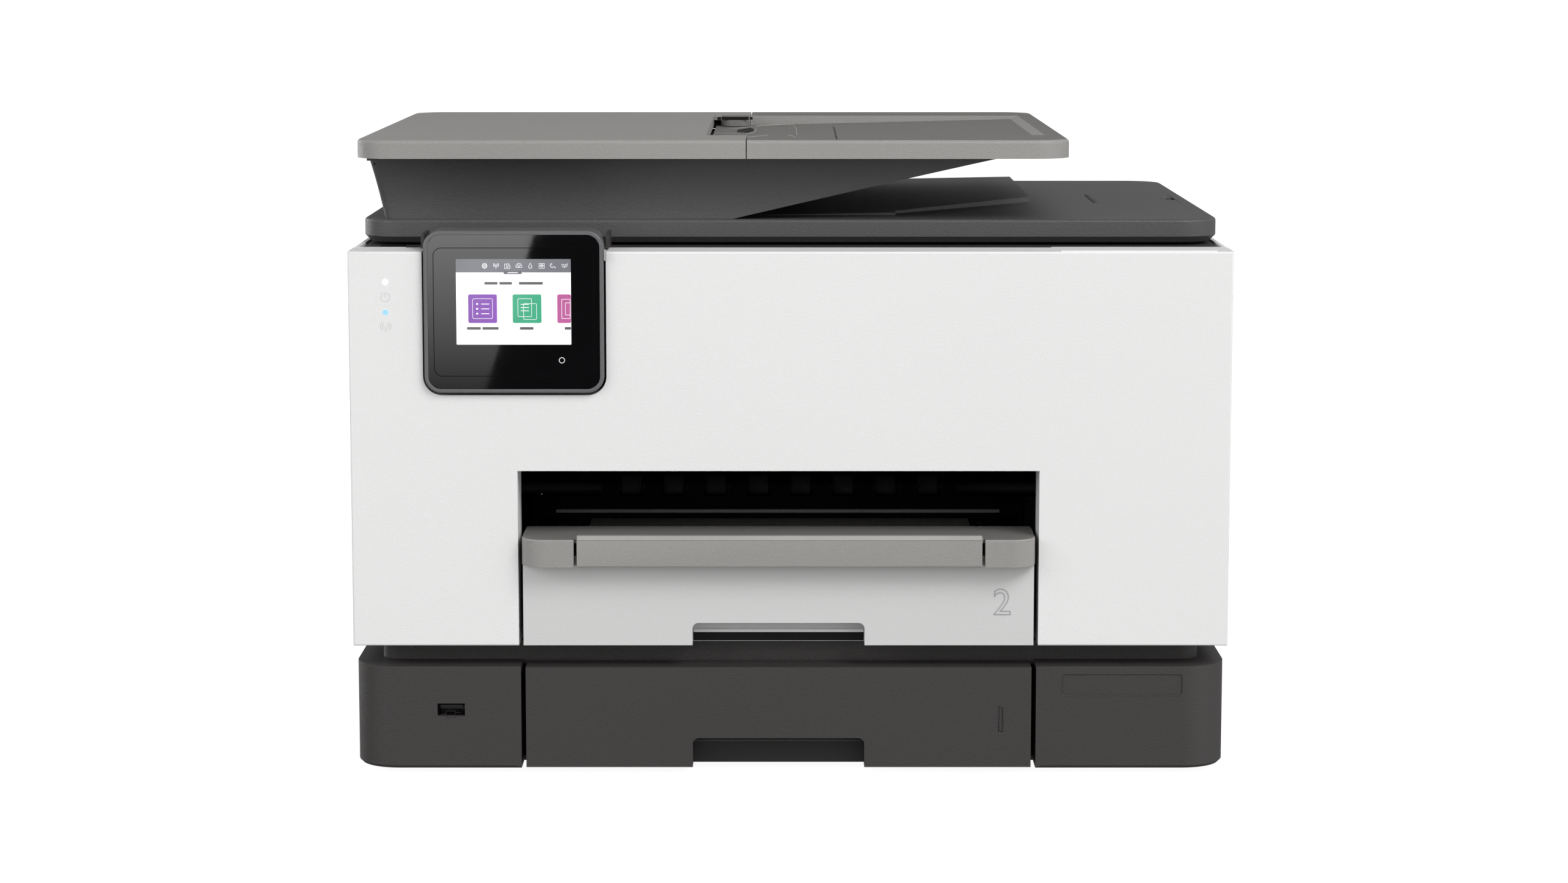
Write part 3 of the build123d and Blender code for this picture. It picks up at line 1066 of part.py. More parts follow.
def adf_roller(x, count):
    """A feeder roller: rubber sleeves on a shaft along Y."""
    shaft = rod_y(x, BEARING_FRONT - 1.5, BEARING_BACK + 1.5, PICK_Z, ADF_SHAFT_R)
    middle = (count - 1) / 2
    for i in range(count):
        y = ADF_MID_Y + (i - middle) * 60
        shaft += rod_y(x, y - 10, y + 10, PICK_Z, PICK_R)
    return shaft


def adf_shell(x0, x1, corner_side):
    """A shallow lidded shell with two rounded outer corners, open below."""
    shell = block(x0, x1, ADF_FRONT_Y, ADF_BACK_Y, ADF_DECK, ADF_TOP)
    outer = shell.edges().filter_by(Axis.Z).group_by(Axis.X)[corner_side]
    shell = fillet(outer, ADF_RADIUS)
    top = shell.faces().sort_by(Axis.Z)[-1].edges()
    return fillet(top.filter_by(lambda e: abs(e.center().X - ADF_SPLIT) > 1), 2.0)


def adf_cover():
    """The left part of the feeder's top, which swings up on pins at its left edge."""
    x1 = ADF_SPLIT - PANEL_GAP / 2
    cover = adf_shell(-HALF, x1, 0)
    hollow = block(-HALF + WALL, x1 - WALL, ADF_FRONT_Y + WALL, ADF_BACK_Y - WALL, ADF_DECK - 1,
                   ADF_TOP - WALL)
    hollow = fillet(hollow.edges().filter_by(Axis.Z).group_by(Axis.X)[0], ADF_RADIUS - WALL)
    cover -= hollow
    half = THROAT_DEPTH / 2
    cover -= block(x1 - THROAT_LENGTH, x1 + 1, ADF_MID_Y - half, ADF_MID_Y + half, ADF_DECK - 1, ADF_TOP + 1)
    rim = block(x1 - THROAT_LENGTH - WALL, x1 - THROAT_LENGTH, ADF_MID_Y - half - WALL,
                ADF_MID_Y + half + WALL,
                ADF_DECK + 4, ADF_TOP - 1)
    cover += rim
    for y in COVER_EAR_YS:
        cover -= block(-HALF - 1, COVER_PIVOT_X + 3, y - 3.4, y + 3.4, ADF_DECK - 1, COVER_PIVOT_Z + 3)
        for side in (-1, 1):
            y0 = y + side * 3.4
            y1 = y + side * 7.0
            low, high = min(y0, y1), max(y0, y1)
            cover += rod_y(COVER_PIVOT_X, low, high, COVER_PIVOT_Z, 2.4)
            cover += block(COVER_PIVOT_X - 2.4, COVER_PIVOT_X + 2.4, low, high, COVER_PIVOT_Z, ADF_TOP - 1)
        cover -= rod_y(COVER_PIVOT_X, y - 7.5, y + 7.5, COVER_PIVOT_Z, COVER_PIN_R + RUN_FIT)
    return cover


RECESS_DEEP = 5.5
RECESS_SHALLOW = 2.0


def adf_input_tray():
    """The right part of the feeder's top: a shallow sloping recess for originals, with a tongue to the throat."""
    x0 = ADF_SPLIT + PANEL_GAP / 2
    tray = adf_shell(x0, ADF_RIGHT, -1)
    y0 = ADF_MID_Y - THROAT_DEPTH / 2
    y1 = ADF_MID_Y + THROAT_DEPTH / 2
    tray -= prism_y([(x0 - 1, ADF_TOP - RECESS_DEEP), (ADF_RIGHT - 14, ADF_TOP - RECESS_SHALLOW),
                     (ADF_RIGHT - 8, ADF_TOP + 1), (x0 - 1, ADF_TOP + 1)], y0, y1)
    hollow = block(x0 + WALL, ADF_RIGHT - WALL, ADF_FRONT_Y + WALL, ADF_BACK_Y - WALL, ADF_DECK - 1,
                   ADF_TOP - 4)
    hollow = fillet(hollow.edges().filter_by(Axis.Z).group_by(Axis.X)[-1], ADF_RADIUS - WALL)
    tray -= hollow - block(x0, ADF_RIGHT, y0 - WALL, y1 + WALL, ADF_DECK, ADF_TOP)
    tongue = block(x0 - THROAT_LENGTH + 1, x0, y0 + 1, y1 - 1, ADF_DECK + SEAT_GAP,
                   ADF_DECK + ADF_LIP - RECESS_DEEP)
    return tray + tongue


ADF_GUIDE_X = -28.0


def adf_guide(side):
    """One of the pair of sliding edge guides, a rounded block on the tongue."""
    y = ADF_MID_Y + side * (SHEET_WIDTH / 2 - 8)
    z0 = ADF_TOP - RECESS_DEEP + SEAT_GAP
    body = rounded_z(ADF_GUIDE_X - 11, ADF_GUIDE_X + 5, y - 6, y + 6, z0, ADF_TOP + 0.5, 5.5)
    return body - rounded_z(ADF_GUIDE_X - 7, ADF_GUIDE_X + 1, y - 1.6, y + 1.6, ADF_TOP - 2.5, ADF_TOP + 1,
                            1.5)


def write_parts():
    """Write every node."""
    os.makedirs("parts", exist_ok=True)
    keep("base_housing", base_housing())
    keep("rubber_feet", rubber_feet())
    keep("front_usb_port", front_usb_port())
    tray_set(1, TRAY_FRONT_WIDTH, FOOT_HEIGHT + 0.6, BASE_HEIGHT - 1.0, NOTCH_1_HEIGHT,
             FOOT_HEIGHT + WALL + SEAT_GAP, TRAY_1_BOX_HEIGHT)
    tray_set(2, TRAY_FRONT_WIDTH + 1.7, COVER_BOTTOM + 0.3, TRAY_2_FRONT_HEIGHT, NOTCH_2_HEIGHT,
             FLOOR_TOP + SEAT_GAP, TRAY_2_BOX_HEIGHT)
    keep("inner_frame", inner_frame())
    keep("side_cover_left", side_cover(-1))
    keep("side_cover_right", side_cover(1))
    keep("rear_cover", rear_cover())
    keep("case_screws", case_screws())
    keep("rear_door", rear_door())
    keep("access_bezel", access_bezel())
    keep("front_door", front_door())
    keep("door_liner", door_liner())
    keep("door_hinge_pins", door_hinge_pins())
    keep("led_lenses", led_lenses())
    keep("panel_frame", panel_frame())
    keep("touch_glass", glass_outline(0.1, TOUCH_FRONT + 0.2, TOUCH_FRONT + GLASS_THICK + 0.2))
    keep("lcd_screen", lcd_screen())
    keep("panel_bracket", panel_bracket())
    keep("output_tray", output_tray())
    keep("extender", extender())
    keep("output_rib_bar", output_rib_bar())
    keep("platen", platen())
    keep("output_roller", roller_shaft(ROLLER_Y, EJECT_SHAFT_R, EJECT_R, ROLLER_WIDTH, RIB_COUNT - 1,
                                       RIB_PITCH))
    keep("feed_roller", roller_shaft(FEED_Y, FEED_SHAFT_R, FEED_R, 40.0, 5, 46.0))
    keep("service_station", service_station())
    keep("guide_rods", guide_rods())
    keep("print_carriage", print_carriage())
    keep("ink_cartridges", ink_cartridges())
    keep("drive_pulley", pulley(PULLEY_X, 1.5, PLATE_Y - 3, PLATE_Y + FRAME_PLATE + MOTOR_LENGTH - 4))
    keep("idler_pulley", pulley(-PULLEY_X, KNUCKLE_PIN_R - RUN_FIT, PLATE_Y - 3, PLATE_Y + FRAME_PLATE + 1))
    keep("carriage_belt", belt_loop(-PULLEY_X, PULLEY_X, BELT_Z, PULLEY_R + SEAT_GAP,
                                    PLATE_Y - 3 - BELT_WIDTH + 0.2, PLATE_Y - 3.2))
    keep("drive_motors", group([carriage_motor(), feed_motor()]))
    keep("power_supply", power_supply())
    keep("power_inlet", power_inlet())
    keep("rear_ports", rear_ports())
    keep("main_board", main_board())
    keep("scanner_deck", scanner_deck())
    keep("scanner_glass", scanner_glass())
    keep("scan_head", scan_head())
    keep("power_button", power_button())
    keep("hinge_brackets", hinge_brackets())
    keep("lid_hinge_arms", lid_hinge_arms())
    keep("scanner_lid", scanner_lid())
    keep("lid_pad", lid_pad())
    keep("lid_paper_stop", lid_paper_stop())
    keep("adf_body", adf_body())
    keep("adf_cover", adf_cover())
    keep("adf_input_tray", adf_input_tray())
    keep("adf_guide_front", adf_guide(-1))
    keep("adf_guide_rear", adf_guide(1))
    keep("adf_pick_roller", adf_roller(PICK_X, 2))
    keep("adf_feed_roller", adf_roller(FEED_X, 3))


write_parts()
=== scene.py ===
import math

import bpy
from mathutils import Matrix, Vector


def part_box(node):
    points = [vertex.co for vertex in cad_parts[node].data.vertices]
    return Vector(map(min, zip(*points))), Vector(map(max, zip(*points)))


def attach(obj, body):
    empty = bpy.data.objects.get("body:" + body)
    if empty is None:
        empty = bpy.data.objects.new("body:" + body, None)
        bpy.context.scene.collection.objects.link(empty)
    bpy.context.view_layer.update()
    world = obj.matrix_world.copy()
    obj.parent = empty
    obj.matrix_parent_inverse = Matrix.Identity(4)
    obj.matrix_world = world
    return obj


# An all-in-one inkjet printer. Everything is in metres in the CAD's frame: +X right, +Y back, +Z up.
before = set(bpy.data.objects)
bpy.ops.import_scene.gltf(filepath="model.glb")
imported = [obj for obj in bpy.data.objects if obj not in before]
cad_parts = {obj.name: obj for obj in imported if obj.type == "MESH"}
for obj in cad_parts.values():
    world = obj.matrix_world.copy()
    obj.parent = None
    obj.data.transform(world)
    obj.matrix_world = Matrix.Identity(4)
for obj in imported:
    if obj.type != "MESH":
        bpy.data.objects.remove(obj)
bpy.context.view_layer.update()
MM = 0.001


# ---- materials ----
# bump sizes in metres
GRAIN = 0.0006  # one pebble of the embossed grain
WHITE_EMBOSS = 0.00010
DARK_EMBOSS = 0.00016
TAUPE_EMBOSS = 0.00018
SPARK_DEPTH = 0.00004
RIPPLE_DEPTH = 0.00005
SCRATCH_DEPTH = 0.00003
SKIN_DEPTH = 0.00006
FOAM_DEPTH = 0.0002
TRACK_DEPTH = 0.00008


class Shader:
    """A material's nodes, with short calls for the ones used here."""

    def __init__(self, name):
        self.material = bpy.data.materials.new(name)
        self.material.use_nodes = True
        self.tree = self.material.node_tree
        self.main = self.tree.nodes["Principled BSDF"]
        self.place = self.add("ShaderNodeTexCoord").outputs["Object"]

    def add(self, kind, **settings):
        node = self.tree.nodes.new(kind)
        for key, value in settings.items():
            setattr(node, key, value)
        return node

    def link(self, source, target):
        self.tree.links.new(source, target)

    def noise(self, scale, detail=2.0, rough=0.5, vector=None):
        node = self.add("ShaderNodeTexNoise")
        node.inputs["Scale"].default_value = scale
        node.inputs["Detail"].default_value = detail
        node.inputs["Roughness"].default_value = rough
        self.link(vector or self.place, node.inputs["Vector"])
        return node.outputs["Fac"]

    def voronoi(self, scale, feature="SMOOTH_F1", vector=None):
        node = self.add("ShaderNodeTexVoronoi", feature=feature)
        node.inputs["Scale"].default_value = scale
        self.link(vector or self.place, node.inputs["Vector"])
        return node.outputs["Distance"]

    def math(self, operation, a, b):
        node = self.add("ShaderNodeMath", operation=operation)
        for socket, value in zip(node.inputs, (a, b)):
            if isinstance(value, (int, float)):
                socket.default_value = value
            else:
                self.link(value, socket)
        return node.outputs["Value"]

    def spread(self, source, low, high, out_low, out_high):
        node = self.add("ShaderNodeMapRange")
        for socket, value in zip(list(node.inputs)[1:5], (low, high, out_low, out_high)):
            socket.default_value = value
        self.link(source, node.inputs["Value"])
        return node.outputs["Result"]

    def blend(self, factor, first, second):
        node = self.add("ShaderNodeMix", data_type="RGBA")
        self.link(factor, node.inputs["Factor"])
        for socket, value in ((node.inputs["A"], first), (node.inputs["B"], second)):
            if isinstance(value, tuple):
                socket.default_value = (*value, 1.0)
            else:
                self.link(value, socket)
        return node.outputs["Result"]

    def paint(self, source, first, second, low=0.3, high=0.7):
        """Base colour that goes from first to second as source goes from low to high."""
        tone = self.spread(source, low, high, 0.0, 1.0)
        self.link(self.blend(tone, first, second), self.main.inputs["Base Color"])

    def polish(self, source, low, high, smooth, rough):
        """Roughness that goes from smooth to rough as source goes from low to high."""
        self.link(self.spread(source, low, high, smooth, rough), self.main.inputs["Roughness"])

    def set(self, socket, value):
        """A value that is the same all over the surface."""
        self.main.inputs[socket].default_value = value

    def warp(self, scale, amount):
        """The object's coordinates pushed about by noise."""
        source = self.add("ShaderNodeTexNoise")
        source.inputs["Scale"].default_value = scale
        self.link(self.place, source.inputs["Vector"])
        shift = self.add("ShaderNodeVectorMath", operation="MULTIPLY_ADD")
        self.link(source.outputs["Color"], shift.inputs[0])
        shift.inputs[1].default_value = (amount, amount, amount)
        self.link(self.place, shift.inputs[2])
        return shift.outputs["Vector"]

    def bump(self, height, distance, strength=1.0):
        node = self.add("ShaderNodeBump")
        node.inputs["Distance"].default_value = distance
        node.inputs["Strength"].default_value = strength
        self.link(height, node.inputs["Height"])
        self.link(node.outputs["Normal"], self.main.inputs["Normal"])


def shade(color, factor):
    """A colour made lighter or darker."""
    return tuple(min(1.0, part * factor) for part in color)


def grained_plastic(name, color, rough, depth, vary, specular=0.5):
    """Moulded plastic with an embossed leather-like grain, depth metres deep."""
    s = Shader(name)
    warped = s.warp(0.6 / GRAIN, 0.55 * GRAIN)
    cells = s.voronoi(1.0 / GRAIN, vector=warped)
    fine = s.noise(1.7 / GRAIN, detail=3.0, rough=0.6)
    height = s.math("ADD", s.math("MULTIPLY", cells, 0.9), s.math("MULTIPLY", fine, 0.55))
    s.bump(height, depth, strength=0.9)
    broad = s.noise(7.0, detail=3.0)
    mottle = s.noise(0.35 / GRAIN)
    mixed = s.math("ADD", s.math("MULTIPLY", broad, 0.6), s.math("MULTIPLY", mottle, 0.4))
    s.paint(mixed, shade(color, 1 - vary), shade(color, 1 + vary))
    s.polish(s.math("ADD", cells, fine), 0.5, 1.3, rough - 0.06, rough + 0.07)
    s.set("Specular IOR Level", specular)
    return s.material


def satin_plastic(name, color, rough, scuff=0.05, specular=0.5):
    """Moulded plastic with a fine spark finish, faint flow marks and rubbed patches."""
    s = Shader(name)
    spark = s.noise(2600.0, rough=0.7)
    flow = s.noise(45.0, detail=4.0, rough=0.6)
    s.bump(s.math("ADD", spark, s.math("MULTIPLY", flow, 0.4)), SPARK_DEPTH, strength=0.6)
    s.paint(s.noise(16.0, detail=4.0), shade(color, 1 - scuff), shade(color, 1 + scuff))
    s.polish(flow, 0.3, 0.7, rough - 0.06, rough + 0.08)
    s.set("Specular IOR Level", specular)
    return s.material


def gloss_plastic(name, color, rough):
    """Hard gloss: a faint ripple, and fingerprint haze in the roughness."""
    s = Shader(name)
    s.polish(s.noise(22.0, detail=5.0, rough=0.65), 0.35, 0.75, rough * 0.6, rough * 2.2)
    s.paint(s.noise(60.0), shade(color, 0.92), shade(color, 1.08))
    s.bump(s.noise(14.0, detail=1.0), RIPPLE_DEPTH, strength=0.25)
    return s.material


def metal(name, color, rough):
    """Ground or rolled steel: fine lines along X, cloudy tone."""
    s = Shader(name)
    lines = s.add("ShaderNodeMapping")
    lines.inputs["Scale"].default_value = (1.0, 60.0, 60.0)
    s.link(s.place, lines.inputs["Vector"])
    grain = s.noise(40.0, detail=3.0, rough=0.7, vector=lines.outputs["Vector"])
    s.bump(grain, SCRATCH_DEPTH, strength=0.5)
    s.paint(s.noise(30.0, detail=3.0), shade(color, 0.85), shade(color, 1.08))
    s.polish(grain, 0.3, 0.7, rough - 0.08, rough + 0.1)
    s.set("Metallic", 1.0)
    return s.material


def rubber(name, color):
    """Rubber with a matt, slightly dusty skin."""
    s = Shader(name)
    dust = s.noise(180.0, detail=4.0, rough=0.6)
    s.paint(dust, color, shade(color, 1.7), 0.35, 0.75)
    s.polish(dust, 0.3, 0.7, 0.62, 0.85)
    s.bump(s.noise(1500.0), SKIN_DEPTH, strength=0.7)
    return s.material


def foam(name):
    """White foam with a fine open-cell skin."""
    s = Shader(name)
    cells = s.voronoi(900.0)
    s.bump(cells, FOAM_DEPTH, strength=0.6)
    s.paint(s.noise(14.0, detail=4.0), (0.80, 0.80, 0.78), (0.87, 0.87, 0.86))
    s.polish(cells, 0.1, 0.7, 0.85, 0.95)
    return s.material


def clear_glass(name):
    """Flat document glass with a trace of green and smears."""
    s = Shader(name)
    smear = s.noise(9.0, detail=5.0, rough=0.7)
    s.polish(smear, 0.4, 0.8, 0.01, 0.09)
    s.paint(smear, (0.80, 0.88, 0.85), (0.88, 0.93, 0.91))
    s.set("Transmission Weight", 0.9)
    s.set("IOR", 1.5)
    return s.material


def circuit_board(name):
    """Green solder mask over etched tracks."""
    s = Shader(name)
    lines = s.spread(s.voronoi(240.0, "DISTANCE_TO_EDGE"), 0.02, 0.09, 0.0, 1.0)
    s.link(s.blend(lines, (0.10, 0.36, 0.16), (0.02, 0.14, 0.06)), s.main.inputs["Base Color"])
    s.polish(s.noise(90.0, detail=3.0), 0.3, 0.7, 0.25, 0.45)
    s.bump(lines, TRACK_DEPTH, strength=0.5)
    return s.material


def lit(name, color, strength, spread_over=0.05):
    """A lit area of the display or a light pipe, with a faint unevenness in the backlight."""
    s = Shader(name)
    tone = s.spread(s.noise(35.0), 0.3, 0.7, 0.0, 1.0)
    glow = s.blend(tone, shade(color, 1 - spread_over), shade(color, 1 + spread_over))
    s.link(glow, s.main.inputs["Emission Color"])
    s.link(s.blend(tone, shade(color, 0.25), shade(color, 0.3)), s.main.inputs["Base Color"])
    s.polish(s.noise(50.0), 0.3, 0.7, 0.12, 0.22)
    s.set("Emission Strength", strength)
    return s.material


WHITE = (0.725, 0.725, 0.722)
CHARCOAL = (0.032, 0.029, 0.028)
LID_GREY = (0.060, 0.060, 0.060)
BODY_GREY = (0.060, 0.060, 0.060)
TAUPE = (0.262, 0.256, 0.246)
GREY = (0.30, 0.30, 0.30)
BLACK = (0.0025, 0.0025, 0.0025)

white = grained_plastic("white_grain", WHITE, 0.46, WHITE_EMBOSS, 0.010)
# each *_edge material is lighter than its face colour: painted highlight on rounded edges and on the thin
# raised pieces drawn in it
white_edge = satin_plastic("white_edge", shade(WHITE, 1.03), 0.38, 0.02)
charcoal = grained_plastic("charcoal_grain", CHARCOAL, 0.50, DARK_EMBOSS, 0.06)
charcoal_edge = satin_plastic("charcoal_edge", shade(CHARCOAL, 1.45), 0.36)
lid_grey = grained_plastic("lid_grain", LID_GREY, 0.47, DARK_EMBOSS, 0.06)
lid_edge = satin_plastic("lid_edge", shade(LID_GREY, 1.3), 0.36)
body_grey = grained_plastic("feeder_grain", BODY_GREY, 0.48, DARK_EMBOSS, 0.06)
body_edge = satin_plastic("feeder_edge", shade(BODY_GREY, 1.25), 0.38)
# tray 2's white is darker than the front's: painted shade for the shadow that the output tray casts on it
tray_painted_shade = grained_plastic("tray_painted_shade_grain", shade(WHITE, 0.78), 0.46, WHITE_EMBOSS, 0.010)
taupe = grained_plastic("taupe_grain", TAUPE, 0.46, TAUPE_EMBOSS, 0.04)
# the darker taupe is painted shade: level faces, the edge guides and the back of the shelf take it for the
# shade that falls on them
taupe_painted_shade = grained_plastic("taupe_painted_shade_grain", shade(TAUPE, 0.60), 0.52, TAUPE_EMBOSS, 0.04, 0.30)
taupe_edge = satin_plastic("taupe_edge", shade(TAUPE, 1.15), 0.36)
grey = satin_plastic("grey_satin", GREY, 0.42)
bezel_grey = satin_plastic("bezel_grey", (0.105, 0.105, 0.11), 0.36)
bezel_edge = satin_plastic("bezel_edge", (0.34, 0.34, 0.35), 0.25)
black = satin_plastic("black_satin", BLACK, 0.6, specular=0.02)
black_edge = satin_plastic("black_edge", shade(BLACK, 3.0), 0.45, specular=0.12)
black_gloss = gloss_plastic("cover_glass", (0.0025, 0.0025, 0.003), 0.03)
port_black = gloss_plastic("port_black", (0.006, 0.006, 0.006), 0.2)
steel = metal("ground_steel", (0.62, 0.62, 0.63), 0.26)
sheet_metal = metal("plated_sheet", (0.52, 0.52, 0.51), 0.42)
black_rubber = rubber("black_rubber", (0.018, 0.018, 0.018))
roller_rubber = rubber("roller_rubber", (0.008, 0.008, 0.008))
white_foam = foam("white_foam")
glass = clear_glass("document_glass")
board_green = circuit_board("solder_mask")
screen_white = lit("screen_white", (1.0, 1.0, 1.0), 0.92)
screen_bar = lit("screen_bar", (0.165, 0.165, 0.19), 0.9)
screen_icon = lit("screen_icon", (0.95, 0.95, 0.97), 1.0)
screen_text = lit("screen_text", (0.10, 0.10, 0.11), 0.9)
tile_purple = lit("tile_purple", (0.22, 0.075, 0.40), 0.95, 0.12)
tile_green = lit("tile_green", (0.045, 0.34, 0.19), 0.95, 0.12)
tile_magenta = lit("tile_magenta", (0.42, 0.10, 0.27), 0.95, 0.12)
mark_light = lit("glass_mark", (0.8, 0.8, 0.8), 0.7)
led_white = lit("led_white", (1.0, 1.0, 1.0), 1.1)
led_blue = lit("led_blue", (0.27, 0.55, 0.75), 0.95)

mark_grey = satin_plastic("mark_grey", (0.52, 0.52, 0.52), 0.5)
mark_dark = satin_plastic("mark_dark", (0.008, 0.008, 0.008), 0.5)
digit_dark = satin_plastic("digit_dark", (0.005, 0.005, 0.005), 0.45)
digit_pale = satin_plastic("digit_pale", (0.36, 0.36, 0.36), 0.45)
groove_black = satin_plastic("groove_black", (0.001, 0.001, 0.001), 0.7, specular=0.1)
notch_shadow = satin_plastic("notch_shadow", (0.004, 0.004, 0.004), 0.6, specular=0.2)
# a dark grey that paints the shade deep in tray 1's notch
notch_painted_shade = satin_plastic("notch_painted_shade", (0.016, 0.015, 0.015), 0.5, specular=0.3)
tile_line = lit("tile_line", (0.92, 0.92, 0.94), 0.9)

# face material, edge material (lighter than the face: painted highlight on the rounded edges), edge rounding in
# millimetres
WHITE_CASE = (white, white_edge, 0.5)
DARK_CASE = (charcoal, charcoal_edge, 0.5)
LID_CASE = (lid_grey, lid_edge, 0.4)
TAUPE_CASE = (taupe, taupe_edge, 0.4)
INNER = (black, black_edge, 0.25)
GREY_PART = (grey, grey, 0.3)
# the edge guides wear the darker taupe all over: painted shade
GUIDE_CASE = (taupe_painted_shade, taupe_edge, 0.4)
ROLLER = (roller_rubber, roller_rubber, 0.4)

FINISHES = {
    "base_housing": DARK_CASE, "tray_1": DARK_CASE, "rear_door": DARK_CASE, "scanner_deck": DARK_CASE,
    "hinge_brackets": DARK_CASE, "lid_hinge_arms": DARK_CASE, "panel_bracket": DARK_CASE,
    "front_door": WHITE_CASE, "side_cover_left": WHITE_CASE, "side_cover_right": WHITE_CASE,
    "rear_cover": WHITE_CASE, "tray_2": (tray_painted_shade, white_edge, 0.5),
    "scanner_lid": LID_CASE, "lid_paper_stop": (lid_grey, lid_edge, 0.2),
    "adf_body": (body_grey, body_edge, 0.4), "adf_guide_front": GUIDE_CASE, "adf_guide_rear": GUIDE_CASE,
    "adf_cover": TAUPE_CASE, "adf_input_tray": TAUPE_CASE, "output_tray": TAUPE_CASE, "extender": TAUPE_CASE,
    "panel_frame": (bezel_grey, bezel_edge, 0.5), "power_button": (black_gloss, black_gloss, 0.4),
    "touch_glass": (black_gloss, black_gloss, 0.15), "lcd_screen": (screen_white, screen_white, 0.1),
    "inner_frame": INNER, "access_bezel": INNER, "output_rib_bar": INNER, "platen": INNER,
    "power_inlet": INNER, "rear_ports": INNER, "scan_head": INNER, "print_carriage": INNER,
    "door_liner": INNER, "service_station": INNER, "idler_pulley": INNER,
    "ink_cartridges": (black, black_edge, 0.5), "rubber_feet": (black_rubber, black_rubber, 0.4),
    "carriage_belt": (black_rubber, black_rubber, 0.1), "output_roller": ROLLER, "feed_roller": ROLLER,
    "adf_pick_roller": ROLLER, "adf_feed_roller": ROLLER, "drive_pulley": (steel, steel, 0.1),
    "guide_rods": (steel, steel, 0.3), "door_hinge_pins": (steel, steel, 0.2),
    "case_screws": (steel, steel, 0.2), "front_usb_port": (port_black, port_black, 0.1),
    "drive_motors": (sheet_metal, sheet_metal, 0.5), "power_supply": (sheet_metal, sheet_metal, 0.4),
    "main_board": (board_green, board_green, 0.1), "scanner_glass": (glass, glass, 0.1),
    "lid_pad": (white_foam, white_foam, 0.8), "led_lenses": (led_white, led_white, 0.1),
}

# nodes whose level faces get a darker taupe than their sides: painted shade on the tops
PAINTED_SHADE_TOPS = {"adf_input_tray": taupe_painted_shade, "output_tray": taupe_painted_shade, "extender": taupe_painted_shade}
LEVEL = 0.9  # a face whose normal rises more than this counts as level
WELD = 0.000002  # vertices nearer than this are joined, in metres
SHARP = 38  # edges that turn by more degrees than this are rounded


def dress(node):
    """Give a CAD node its materials, and round its sharp edges with a modifier."""
    face, edge, width = FINISHES.get(node, GREY_PART)
    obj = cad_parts[node]
    mesh = obj.data
    mesh.materials.clear()
    mesh.materials.append(face)
    mesh.materials.append(edge)
    mesh.polygons.foreach_set("material_index", [0] * len(mesh.polygons))
    mesh.polygons.foreach_set("use_smooth", [True] * len(mesh.polygons))
    # level faces get the darker taupe: painted shade on the tops
    if node in PAINTED_SHADE_TOPS:
        mesh.materials.append(PAINTED_SHADE_TOPS[node])
        for polygon in mesh.polygons:
            if polygon.normal.z > LEVEL:
                polygon.material_index = 2
    obj.modifiers.new("weld", "WELD").merge_threshold = WELD
    bevel = obj.modifiers.new("edges", "BEVEL")
    bevel.width = width * MM
    bevel.segments = 2
    bevel.limit_method = "ANGLE"
    bevel.angle_limit = math.radians(SHARP)
    bevel.material = 1
    bevel.use_clamp_overlap = True
    obj.modifiers.new("normals", "WEIGHTED_NORMAL").keep_sharp = False


for node_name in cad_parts:
    dress(node_name)


# ---- small shapes ----
def mesh_piece(name, verts, faces, material, body):
    """A mesh that rides on a body."""
    mesh = bpy.data.meshes.new(name)
    mesh.from_pydata([tuple(v) for v in verts], [], faces)
    mesh.materials.append(material)
    mesh.update()
    obj = bpy.data.objects.new(name, mesh)
    bpy.context.collection.objects.link(obj)
    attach(obj, body)
    return obj


def rounded_outline(x0, x1, z0, z1, radius, steps=6):
    """Points round a rectangle with rounded corners, anticlockwise."""
    points = []
    corners = ((x1 - radius, z0 + radius, -90), (x1 - radius, z1 - radius, 0),
               (x0 + radius, z1 - radius, 90), (x0 + radius, z0 + radius, 180))
    for cx, cz, start in corners:
        for i in range(steps + 1):
            angle = math.radians(start + 90 * i / steps)
            points.append((cx + radius * math.cos(angle), cz + radius * math.sin(angle)))
    return points


def slab(outlines, y0, y1):
    """Vertices and faces of closed plates: each outline in X and Z, carried from y0 back to y1."""
    verts, faces = [], []
    for outline in outlines:
        n = len(outline)
        start = len(verts)
        verts += [(x, y0, z) for x, z in outline] + [(x, y1, z) for x, z in outline]
        faces.append([start + i for i in range(n)])
        faces.append([start + n + i for i in reversed(range(n))])
        for i in range(n):
            j = (i + 1) % n
            faces.append([start + j, start + i, start + n + i, start + n + j])
    return verts, faces


def line_piece(name, paths, radius, material, body, closed=True):
    """Thin raised lines along paths of (x, y, z) points."""
    curve = bpy.data.curves.new(name, "CURVE")
    curve.dimensions = "3D"
    curve.bevel_depth = radius
    curve.bevel_resolution = 1
    for path in paths:
        spline = curve.splines.new("POLY")
        spline.points.add(len(path) - 1)
        for point, place in zip(spline.points, path):
            point.co = (*place, 1.0)
        spline.use_cyclic_u = closed
    curve.materials.append(material)
    obj = bpy.data.objects.new(name, curve)
    bpy.context.collection.objects.link(obj)
    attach(obj, body)


def arc_path(cx, cz, y, radius, start, end, steps=14):
    """Points along an arc in a plane that faces the front."""
    angles = (math.radians(start + (end - start) * i / steps) for i in range(steps + 1))
    return [(cx + radius * math.cos(angle), y, cz + radius * math.sin(angle)) for angle in angles]


# ---- the display ----
glass_low, glass_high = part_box("touch_glass")
lcd_low, lcd_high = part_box("lcd_screen")
LAYER = 0.00003  # how far each flat layer of the display stands in front of the last, in metres


def screen_plates(name, outlines, material, layer):
    """Flat lit plates on the cover glass, where the display shows through."""
    front = glass_low.y - LAYER * layer
    verts, faces = slab(outlines, front - LAYER * 0.8, front)
    mesh_piece(name, verts, faces, material, "touch_panel")


